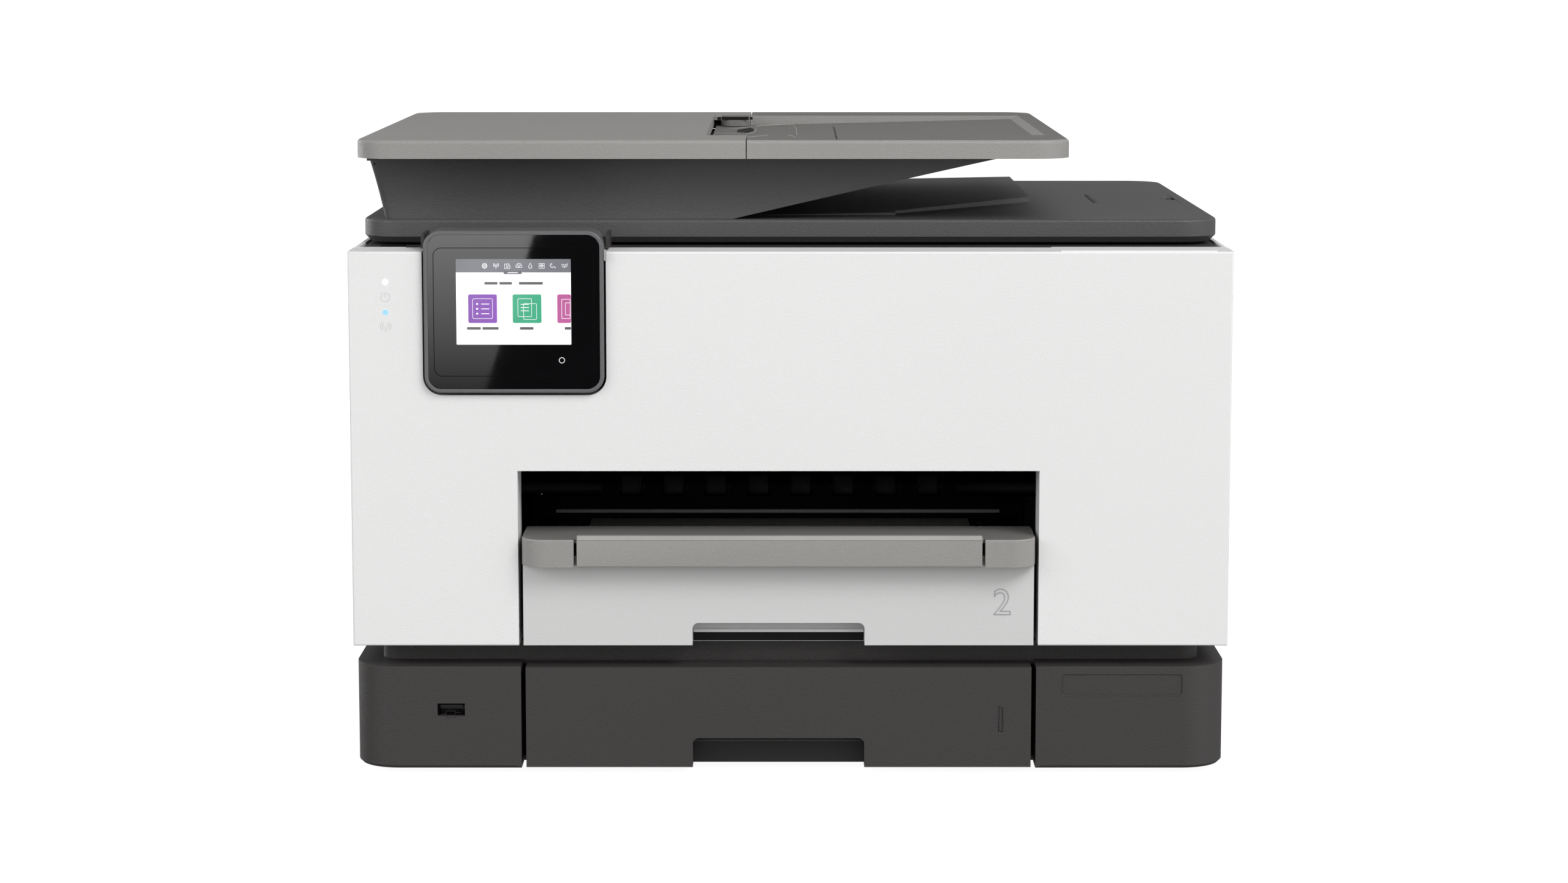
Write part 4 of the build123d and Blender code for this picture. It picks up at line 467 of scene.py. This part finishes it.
def screen_box(left, right, top, bottom, radius=0.0003):
    """A rounded rectangle on the display, in millimetres from its top left corner."""
    x = lcd_low.x
    z = lcd_high.z
    return rounded_outline(x + left * MM, x + right * MM, z - bottom * MM, z - top * MM, radius, 3)


# in millimetres from the display's top left corner
SCREEN_W = (lcd_high.x - lcd_low.x) / MM
SCREEN_H = (lcd_high.z - lcd_low.z) / MM
BAR_H = 6.6
TILE_TOP = 17.4
TILE = 14.2
TILE_LEFTS = (5.9, 27.8, 49.8)
TILE_LINE = 0.00012  # half the width of the lines on the tiles, in metres
WORD_H = 1.3
DATE_TOP = 11.3
DATE_BARS = ((14.0, 20.5), (21.4, 27.6), (31.0, 42.8))
LABEL_TOP = 33.6
LABEL_BARS = ((5.2, 12.0), (12.8, 20.8), (31.3, 38.0))
CUT_LABEL_LEFT = 53.4  # the last label runs off the display


def screen_content():
    """A white field with a status bar, three tiles and plain bars where a real screen has words."""
    screen_plates("screen_field", [screen_box(0, SCREEN_W, 0, SCREEN_H)], screen_white, 1)
    screen_plates("screen_status_bar", [screen_box(0, SCREEN_W, 0, BAR_H)], screen_bar, 2)
    tab = [screen_box(23.5, 32.5, BAR_H - 0.5, BAR_H + 0.9, 0.0006)]
    screen_plates("screen_pull_tab", tab, screen_bar, 2)
    grip = [screen_box(25.5, 30.5, BAR_H - 0.1, BAR_H + 0.25, 0.0001)]
    screen_plates("screen_tab_grip", grip, screen_icon, 3)
    words = [screen_box(left, right, DATE_TOP, DATE_TOP + WORD_H) for left, right in DATE_BARS]
    words += [screen_box(left, right, LABEL_TOP, LABEL_TOP + WORD_H) for left, right in LABEL_BARS]
    words += [screen_box(CUT_LABEL_LEFT, SCREEN_W - 0.1, LABEL_TOP, LABEL_TOP + WORD_H, 0.0002)]
    screen_plates("screen_word_bars", words, screen_text, 2)
    tiles = (("purple", tile_purple), ("green", tile_green), ("magenta", tile_magenta))
    for left, (name, material) in zip(TILE_LEFTS, tiles):
        right = min(left + TILE, SCREEN_W - 0.05)
        tile = screen_box(left, right, TILE_TOP, TILE_TOP + TILE, 0.0008)
        screen_plates(f"screen_tile_{name}", [tile], material, 2)


def screen_line(name, boxes):
    """Thin light outlines on the tiles, each a rounded rectangle in millimetres on the display."""
    y = glass_low.y - LAYER * 3.5
    paths = [[(x, y, z) for x, z in screen_box(*edges)] for edges in boxes]
    line_piece(name, paths, TILE_LINE, tile_line, "touch_panel")


def tile_pictures():
    """Plain pictures on the tiles: a list, two sheets and a page."""
    top = TILE_TOP
    a = TILE_LEFTS[0]
    screen_line("tile_list", [(a + 2.2, a + 12.0, top + 2.2, top + 12.0, 0.0006)])
    rows = [screen_box(a + 6.4, a + 10.4, top + y, top + y + 0.35, 0.0001) for y in (4.6, 7.0, 9.4)]
    rows += [screen_box(a + 3.9, a + 4.9, top + y - 0.25, top + y + 0.55, 0.0002) for y in (4.6, 7.0, 9.4)]
    screen_plates("tile_list_rows", rows, tile_line, 3)
    b = TILE_LEFTS[1]
    screen_line("tile_sheets", [(b + 2.6, b + 9.4, top + 2.2, top + 11.0, 0.0004),
                                (b + 5.4, b + 11.8, top + 4.6, top + 12.4, 0.0004)])
    rows = [screen_box(b + 4.0, b + 8.0, top + y, top + y + 0.3, 0.0001) for y in (4.8, 6.4, 8.0)]
    screen_plates("tile_sheet_rows", rows, tile_line, 3)
    c = TILE_LEFTS[2]
    screen_line("tile_page", [(c + 2.2, SCREEN_W - 0.4, top + 2.4, top + 12.0, 0.0002),
                              (c + 4.0, SCREEN_W - 0.4, top + 4.2, top + 10.2, 0.0002)])


ICON_DOWN, ICON_START, ICON_PITCH = 3.35, 14.2, 5.62  # the row of icons, in millimetres
ICON_LINE = 0.00013  # half the width of an icon's lines, in metres


def status_icons():
    """Eight small line pictures in the status bar."""
    y = glass_low.y - LAYER * 3.5
    z = lcd_high.z - ICON_DOWN * MM
    row = [lcd_low.x + (ICON_START + ICON_PITCH * i) * MM for i in range(8)]
    unit = 0.1 * MM

    def loop(cx, points):
        return [(cx + px * unit, y, z + pz * unit) for px, pz in points]

    def box(cx, x0, z0, x1, z1):
        return loop(cx, [(x0, z0), (x1, z0), (x1, z1), (x0, z1)])

    def ring(cx, radius, start=0, end=345, lift=0.0):
        return arc_path(cx, z + lift * unit, y, radius * unit, start, end, 12)

    gear, mast, sheets, device, drop, drawer, phone, leaf = row
    closed = [ring(gear, 11), ring(gear, 5)]
    closed += [box(sheets, -14, -13, -3, 9), box(sheets, 1, -13, 13, -1)]
    closed += [box(device, -14, -8, 14, 4), box(device, -7, 4, 7, 12)]
    closed += [ring(drop, 8, 150, 390, -4) + loop(drop, [(0, 14)])]
    closed += [box(drawer, -13, -12, 13, -1), box(drawer, -13, 2, 13, 12)]
    closed += [loop(leaf, [(-14, 8), (-2, 6), (0, -10), (-10, -4)])]
    closed += [loop(leaf, [(2, -6), (4, 6), (15, 11), (12, -2)])]
    line_piece("icons_closed", closed, ICON_LINE, screen_icon, "touch_panel")
    ends = [[(gear + r0 * math.cos(a) * unit, y, z + r0 * math.sin(a) * unit) for r0 in (11, 14.5)]
            for a in (math.radians(45 * k) for k in range(8))]
    ends += [loop(mast, [(0, -13), (0, 3)]), ring(mast, 6, -50, 50, 4), ring(mast, 6, 130, 230, 4),
             ring(mast, 12, -50, 50, 4), ring(mast, 12, 130, 230, 4)]
    ends += [ring(sheets, 9, 0, 90, 2), loop(device, [(-6, -4), (6, -4)])]
    ends += [loop(drawer, [(-5, -6), (5, -6)]), loop(drawer, [(-5, 7), (5, 7)])]
    ends += [ring(phone, 15, 195, 262, 6), loop(phone, [(-14, 2), (-12, 11), (-6, 11), (-6, 4)]),
             loop(phone, [(-2, -9), (3, -3), (11, -6), (10, -12)])]
    line_piece("icons_open", ends, ICON_LINE, screen_icon, "touch_panel", closed=False)


status_icons()
screen_content()
tile_pictures()


def glass_details():
    """The fine groove round the glass and a small ring at its lower right."""
    y = glass_low.y + 0.00002
    side, end = 2.9 * MM, 6.4 * MM  # from the glass's edges to the groove
    groove = rounded_outline(glass_low.x + side, glass_high.x - side, glass_low.z + end, glass_high.z - end,
                             4.0 * MM, 10)
    line_piece("glass_groove", [[(x, y, z) for x, z in groove]], 0.00018, groove_black, "touch_panel")
    ring = arc_path(lcd_high.x - 4.7 * MM, glass_low.z + 14.3 * MM, y - 0.0001, 1.35 * MM, 0, 352)
    line_piece("glass_home_ring", [ring], 0.0002, mark_light, "touch_panel")


glass_details()


# ---- marks on the front ----
door_low, door_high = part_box("front_door")
led_low, led_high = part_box("led_lenses")
FRONT = door_low.y
LENS_R = 1.5 * MM  # the tips of the light pipes


def status_marks():
    """The lit tips of the two light pipes, and faint marks for power and for wireless under them."""
    cx = (led_low.x + led_high.x) / 2
    pitch = (led_high.z - led_low.z - 4 * LENS_R) / 2
    top = led_high.z - 2 * LENS_R
    for name, z, material in (("power_light", top, led_white),
                              ("wireless_light", top - 2 * pitch, led_blue)):
        tip = rounded_outline(cx - LENS_R, cx + LENS_R, z - LENS_R, z + LENS_R, LENS_R - 0.001 * MM, 7)
        verts, faces = slab([tip], FRONT - 0.0001, FRONT - 0.00006)
        mesh_piece(name, verts, faces, material, "front_door")
    y = FRONT - 0.00003
    z = top - pitch
    paths = [arc_path(cx, z, y, 2.2 * MM, 115, 425, 24), [(cx, y, z + 2.6 * MM), (cx, y, z)]]
    z = top - 3 * pitch + 0.6 * MM
    paths += [[(cx, y, z), (cx, y, z - 2.6 * MM)]]
    for radius in (1.6 * MM, 2.6 * MM):
        for start in (-55, 125):
            paths.append(arc_path(cx, z, y, radius, start, start + 110, 10))
    line_piece("status_marks", paths, 0.00010, mark_grey, "front_door", closed=False)


status_marks()


def outlined_digit(name, digit, place, height, body, material):
    """A plain numeral drawn as a thin raised outline on a tray front."""
    text = bpy.data.curves.new(name, "FONT")
    text.body = digit
    text.size = height * 1.37
    text.fill_mode = "NONE"
    text.bevel_depth = 0.00028
    text.align_x = "CENTER"
    text.align_y = "CENTER"
    text.materials.append(material)
    obj = bpy.data.objects.new(name, text)
    obj.rotation_euler = (math.radians(90), 0, 0)
    obj.location = place
    bpy.context.collection.objects.link(obj)
    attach(obj, body)


tray_1_low, tray_1_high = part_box("tray_1")
tray_2_low, tray_2_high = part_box("tray_2")
outlined_digit("digit_1", "1", (tray_1_high.x - 15.2 * MM, tray_1_low.y - 0.00004, 27.5 * MM), 0.0133, "tray_1",
               digit_dark)
outlined_digit("digit_2", "2", (tray_2_high.x - 15.8 * MM, tray_2_low.y - 0.00004, 87.0 * MM), 0.0136, "tray_2",
               digit_pale)


def flat_box(name, xs, ys, zs, material, body, soften=0.0002):
    """A small plate with softened edges. xs, ys and zs hold its two ends along each axis, in metres."""
    corners = ((xs[0], ys[0]), (xs[1], ys[0]), (xs[1], ys[1]), (xs[0], ys[1]))
    verts = [(x, y, z) for z in zs for x, y in corners]
    faces = [(3, 2, 1, 0), (4, 5, 6, 7), (0, 1, 5, 4), (1, 2, 6, 5), (2, 3, 7, 6), (3, 0, 4, 7)]
    obj = mesh_piece(name, verts, faces, material, body)
    bevel = obj.modifiers.new("edges", "BEVEL")
    bevel.width = min(soften, 0.3 * min(end - start for start, end in (xs, ys, zs)))
    bevel.segments = 2


# ---- small details of the front cover's top edge ----
def top_edge_details():
    """A pale strip along the right of the cover's top edge, and the small lug beside the touch panel."""
    _, panel_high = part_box("panel_frame")
    flat_box("top_edge_strip", (0.1333, 0.2105), (FRONT + 0.0008, FRONT + 0.0030),
             (door_high.z - 0.0002, door_high.z + 0.0005), white_edge, "front_door", 0.0001)
    flat_box("panel_lug", (panel_high.x + 0.0001, panel_high.x + 0.0014), (FRONT - 0.0032, FRONT - 0.0006),
             (0.2585, 0.2640), grey, "touch_panel", 0.0003)


top_edge_details()


# ---- the finger notches ----
NOTCH_BACK = tray_2_low.y + 12.0 * MM  # the back wall of both notches
NOTCH_XS = (-0.0488, 0.0368)
# tray, its foot, heights of the band of painted shade and of the lip over it in millimetres, their materials,
# the lip's slot
NOTCHES = (("tray_2", tray_2_low.z, 4.6, 1.5, notch_shadow, white_edge, "white"),
           ("tray_1", tray_1_low.z, 10.8, 1.2, notch_painted_shade, charcoal, "charcoal"))


def notch_lips():
    """What shows deep in the notches: a dark plate of painted shade below a thin lip."""
    back = NOTCH_BACK - 0.00003
    for tray, foot, shade_band, lip, dark, pale, slot in NOTCHES:
        fold = foot + shade_band * MM
        flat_box(f"{tray}_undercut", NOTCH_XS, (NOTCH_BACK - 0.00035, back), (foot + 0.0003, fold), dark, tray,
                 0.00005)
        flat_box(f"{tray}_lip", NOTCH_XS, (NOTCH_BACK - 0.0011, back), (fold, fold + lip * MM),
                 pale, tray)


notch_lips()


# ---- the memory socket and the blank plate ----
MARK_LINE = 0.00014  # half the width of the socket mark's lines


def socket_details():
    """The tongue and contacts inside the front socket, and a plain plug picture above it."""
    low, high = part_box("front_usb_port")
    cx, cz = (low.x + high.x) / 2, (low.z + high.z) / 2
    flat_box("socket_tongue", (cx - 5.2 * MM, cx + 5.2 * MM), (low.y + 0.0004, low.y + 0.003),
             (cz + 0.2 * MM, cz + 1.3 * MM), notch_shadow, "chassis")
    for i in range(2):
        x = cx + (i - 0.5) * 5.4 * MM
        flat_box(f"socket_contact_{i + 1}", (x - 0.5 * MM, x + 0.5 * MM), (low.y + 0.0002, low.y + 0.002),
                 (cz - 1.9 * MM, cz - 1.3 * MM), sheet_metal, "chassis", 0.00008)
    base_low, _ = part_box("base_housing")
    y = base_low.y - 0.00003
    z = cz + 9.6 * MM

    def path(points):
        return [(cx + dx * MM, y, z + dz * MM) for dx, dz in points]

    plug = path([(-2.6, -1.6), (2.0, -1.6), (2.0, 1.6), (-2.6, 1.6)])
    line_piece("socket_mark_body", [plug], MARK_LINE, mark_dark, "chassis")
    prongs = [path([(2.0, dz), (4.6, dz)]) for dz in (-0.8, 0.8)] + [path([(-2.6, 0), (-5.2, 0)])]
    line_piece("socket_mark_prongs", prongs, MARK_LINE, mark_dark, "chassis", closed=False)


def plate_outline():
    """The rim of the shallow recess for a rating plate, which is left blank."""
    low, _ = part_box("base_housing")
    outline = rounded_outline(0.1357, 0.1963, 0.0400, 0.0513, 0.0012)
    rim = [(x, low.y - 0.00001, z) for x, z in outline]
    # the rim is drawn in the lighter edge colour: painted highlight
    line_piece("plate_rim", [rim], 0.00013, charcoal_edge, "chassis")


socket_details()
plate_outline()


# ---- the output shelf ----
def shelf_details():
    """The back of the shelf inside the slot in the darker taupe of painted shade, the bevelled strip on the
    pull-out bar in the lighter edge colour of painted highlight, and a grey line of painted highlight along the
    exit's edge.
    """
    _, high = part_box("output_tray")
    # the back of the shelf takes the darker taupe: painted shade inside the slot
    flat_box("shelf_back", (-0.1225, 0.1095), (high.y - 0.002, high.y + 0.0125),
             (high.z - 0.0022, high.z - 0.0004), taupe_painted_shade, "chassis", 0.0004)
    bar_low, bar_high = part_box("extender")
    y0, z1 = bar_low.y, bar_high.z
    section = ((y0 - 0.00025, z1 - 0.0019), (y0 + 0.0011, z1 + 0.00015), (y0 + 0.0046, z1 + 0.00015),
               (y0 + 0.0046, z1 - 0.0019))
    verts = [(x, y, z) for x in (bar_low.x + 0.0004, bar_high.x - 0.0004) for y, z in section]
    faces = [(0, 1, 2, 3), (7, 6, 5, 4), (0, 4, 5, 1), (1, 5, 6, 2), (2, 6, 7, 3), (3, 7, 4, 0)]
    strip = mesh_piece("bar_top_strip", verts, faces, taupe_edge, "extender")
    bevel = strip.modifiers.new("edges", "BEVEL")
    bevel.width = 0.00015
    # a thin grey line in the dark slot: painted highlight along the exit's edge
    y, z = high.y + 0.0585, 0.1228
    lines = [[(x0 * MM, y, z), (x1 * MM, y, z)] for x0, x1 in ((-92, -46), (-24, 20), (41, 101))]
    line_piece("exit_edge_highlight", lines, 0.00016, bezel_grey, "chassis", closed=False)


shelf_details()


# ---- marks on the feeder ----
FEEDER_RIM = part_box("adf_input_tray")[1].z  # the flat rim round the sunk sheet bed
SKIN = 0.0001  # how far flat marks stand out of a surface
SIZE_LINE_X = 0.0246
# the slot of the edge guide: its straight left end, and where its round right end is and how big
SLOT_LEFT, SLOT_FRONT, SLOT_REAR = -0.0385, -0.030, 0.034
SLOT_END = (-0.0226, 0.053)
SLOT_END_SIZE = (0.0026, 0.031)


def sheet_bed(x):
    """The height of the feeder's sunk sheet bed, which climbs slightly to the right."""
    return 0.3106 + (x + 0.020) * 0.0217


def bed_bead(name, points, radius=0.0003):
    """A thin raised bead on the sunk sheet bed through (x, y) points."""
    path = [(x, y, sheet_bed(x)) for x, y in points]
    # the beads are drawn in the lighter edge colour: painted highlight along them
    line_piece(name, [path], radius, taupe_edge, "lid", closed=False)


def feeder_marks():
    """The paper size line, the edge guide's slot with its rim, and the curved beads of the input tray."""
    z = sheet_bed(SIZE_LINE_X)
    flat_box("size_line_bed", (SIZE_LINE_X - 0.00045, SIZE_LINE_X + 0.00045), (-0.080, 0.075),
             (z - SKIN, z + SKIN), mark_dark, "lid", 0.00003)
    flat_box("size_line_rim", (0.0228, 0.0237), (-0.1475, -0.106), (FEEDER_RIM - SKIN, FEEDER_RIM + 0.8 * SKIN),
             mark_dark, "lid", 0.00003)
    slot = [(SLOT_LEFT, SLOT_FRONT)]
    slot += [(SLOT_END[0] + SLOT_END_SIZE[0] * math.cos(a), SLOT_END[1] + SLOT_END_SIZE[1] * math.sin(a))
             for a in (math.radians(-90 + 15 * i) for i in range(13))]
    slot += [(SLOT_LEFT, SLOT_REAR)]
    verts = [(x, y, sheet_bed(x) + lift) for lift in (-SKIN, SKIN) for x, y in slot]
    n = len(slot)
    faces = [tuple(reversed(range(n))), tuple(range(n, 2 * n))]
    faces += [(k, (k + 1) % n, n + (k + 1) % n, n + k) for k in range(n)]
    # the slot is a flat near-black plate on the bed: painted shade where the slot opens
    mesh_piece("guide_slot", verts, faces, notch_shadow, "lid")
    bed_bead("guide_slot_rim", [(-0.0385, -0.024), (-0.0222, 0.022), (-0.0196, 0.038), (-0.0188, 0.061),
                                (-0.0196, 0.086), (-0.0222, 0.098), (-0.0385, 0.060)], 0.00035)
    bed_bead("bed_bead_far", [(-0.0196, 0.099), (-0.012, 0.110), (-0.005, 0.1145), (-0.001, 0.1135),
                              (0.0020, 0.104), (0.0034, 0.070), (0.0037, 0.0296), (0.0037, -0.020)])
    z = FEEDER_RIM
    near = [[(-0.0220, -0.128, z), (-0.0137, -0.1105, z), (-0.0115, -0.1065, z)],
            [(-0.0010, -0.1065, z), (0.0011, -0.112, z), (0.0021, -0.128, z), (0.0025, -0.143, z)]]
    # drawn in the lighter edge colour too: painted highlight
    line_piece("bed_bead_near", near, 0.00022, taupe_edge, "lid", closed=False)


def guide_shadow():
    """A dark band along the top of the far edge guide, painted shadow, and dark plates of painted shade in the
    gap behind it.
    """
    low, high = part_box("adf_guide_rear")
    inset = 0.0003
    flat_box("guide_painted_shadow", (low.x + inset, high.x - inset), (low.y - 0.00025, low.y - 0.00003),
             (high.z - 0.0021, high.z - 0.0004), notch_shadow, "adf_guide_rear", 0.00005)
    for name, xs in (("left", (-0.0413, low.x - inset)), ("right", (high.x + inset, -0.0213))):
        flat_box(f"throat_painted_shade_{name}", xs, (0.1167, 0.11695), (0.3138, 0.3152), notch_shadow, "lid",
                 0.00005)


feeder_marks()
guide_shadow()


# ---- camera, lights and floor ----
# name, place, what it points at, size, power in watts
LIGHTS = (("key", (1.2, -1.6, 1.9), (0, 0, 0.12), 1.1, 37.0),
          ("fill", (-1.8, -1.4, 0.9), (0, 0, 0.15), 1.2, 15.0),
          ("back", (-2.1, 1.6, 0.5), (0, 0, 0.15), 1.2, 20.0))
# direction, where a change starts and ends along it, strength before and after; all four are multiplied
SKY = (("X", 0.25, 0.80, 1.0, 2.0), ("Y", -0.35, 0.25, 0.82, 0.36), ("Z", -0.25, 0.15, 0.45, 1.0),
       ("Z", 0.45, 0.95, 1.0, 0.35))
STAGE_SIZE = 14.0
BACKDROP_Y = 9.0
# the cards that the touch panel's glass mirrors: their plane, their height, and the slanted line between them
CARD_Y = -1.0
CARD_LOW, CARD_HIGH = 0.05, 0.28
CARD_SPLIT_LOW, CARD_SPLIT_HIGH = -0.232, -0.160
CAMERA_PLACE = (-0.00325, -1.9826, 0.410)
CAMERA_PITCH = 7.66  # degrees below level
CAMERA_LENS = 83.85  # millimetres, on a sensor 36 mm wide


def emitter(name, tone_low, tone_high, base=0.3):
    """A faintly uneven, evenly lit surface for the floor, the backdrop and the dark card."""
    s = Shader(name)
    tone = s.spread(s.noise(2.0, detail=3.0), 0.3, 0.7, 0.0, 1.0)
    s.link(s.blend(tone, (tone_low,) * 3, (tone_high,) * 3), s.main.inputs["Emission Color"])
    s.set("Base Color", (base, base, base, 1.0))
    s.set("Roughness", 0.6)
    s.set("Emission Strength", 1.0)
    return s.material


def stage_card(name, corners, material, camera=True, diffuse=True, glossy=True):
    """A flat piece of the studio."""
    mesh = bpy.data.meshes.new(name)
    mesh.from_pydata(corners, [], [tuple(range(len(corners)))])
    mesh.materials.append(material)
    card = bpy.data.objects.new(name, mesh)
    bpy.context.collection.objects.link(card)
    card.visible_camera = camera
    card.visible_diffuse = diffuse
    card.visible_glossy = glossy
    card.visible_shadow = diffuse


def surround():
    """The light from all round: brightest from the right, dimmer from behind, from below and from overhead."""
    world = bpy.data.worlds.new("surround")
    bpy.context.scene.world = world
    world.use_nodes = True
    tree = world.node_tree
    place = tree.nodes.new("ShaderNodeTexCoord")
    split = tree.nodes.new("ShaderNodeSeparateXYZ")
    tree.links.new(place.outputs["Generated"], split.inputs["Vector"])
    parts = []
    for socket, *values in SKY:
        node = tree.nodes.new("ShaderNodeMapRange")
        node.interpolation_type = "SMOOTHSTEP"
        for target, value in zip(list(node.inputs)[1:5], values):
            target.default_value = value
        tree.links.new(split.outputs[socket], node.inputs["Value"])
        parts.append(node.outputs["Result"])
    total = parts[0]
    for part in parts[1:]:
        product = tree.nodes.new("ShaderNodeMath")
        product.operation = "MULTIPLY"
        tree.links.new(total, product.inputs[0])
        tree.links.new(part, product.inputs[1])
        total = product.outputs["Value"]
    background = tree.nodes["Background"]
    tree.links.new(total, background.inputs["Strength"])
    background.inputs["Color"].default_value = (1.0, 1.0, 1.0, 1.0)


def glass_reflection():
    """Two cards in front that show only in reflections: a soft light one and a dark one."""
    light = Shader("light_card")
    split = light.add("ShaderNodeSeparateXYZ")
    light.link(light.place, split.inputs["Vector"])
    light.link(light.spread(split.outputs["Z"], 0.09, 0.215, 0.4, 4.2), light.main.inputs["Emission Strength"])
    light.set("Emission Color", (1.0, 1.0, 1.0, 1.0))
    light.set("Base Color", (0.0, 0.0, 0.0, 1.0))
    edge_low = (CARD_SPLIT_LOW, CARD_Y, CARD_LOW)
    edge_high = (CARD_SPLIT_HIGH, CARD_Y, CARD_HIGH)
    left, right = -0.42, -0.05
    stage_card("card_light", [(left, CARD_Y, CARD_LOW), edge_low, edge_high, (left, CARD_Y, CARD_HIGH)],
               light.material, False, False)
    stage_card("card_dark", [edge_low, (right, CARD_Y, CARD_LOW), (right, CARD_Y, CARD_HIGH), edge_high],
               emitter("dark_card", 0.02, 0.03, base=0.0), False, False)


def studio():
    """A pale floor, a pale backdrop, soft light from all round and three large soft lights."""
    size = STAGE_SIZE
    stage_card("floor", [(-size, -size, 0), (size, -size, 0), (size, size, 0), (-size, size, 0)],
               emitter("floor_paint", 0.92, 0.94), True, False, False)
    y, top = BACKDROP_Y, 9.0
    stage_card("backdrop", [(-size, y, -0.1), (size, y, -0.1), (size, y, top), (-size, y, top)],
               emitter("backdrop_paint", 1.02, 1.04), True, False, False)
    surround()
    glass_reflection()
    for name, place, aim, width, power in LIGHTS:
        light = bpy.data.lights.new(name, "AREA")
        light.energy = power
        light.size = width
        obj = bpy.data.objects.new(name, light)
        obj.location = place
        obj.rotation_euler = (Vector(aim) - Vector(place)).to_track_quat("-Z", "Y").to_euler()
        bpy.context.collection.objects.link(obj)


def main_camera():
    """The camera: a long lens from the front, a little above the printer."""
    camera = bpy.data.cameras.new("camera")
    camera.sensor_width = 36.0
    camera.lens = CAMERA_LENS
    camera.clip_end = 60.0
    obj = bpy.data.objects.new("camera", camera)
    obj.location = CAMERA_PLACE
    obj.rotation_euler = (math.radians(90 - CAMERA_PITCH), 0, 0)
    bpy.context.collection.objects.link(obj)
    bpy.context.scene.camera = obj


studio()
main_camera()
bpy.context.scene.view_settings.view_transform = "Standard"
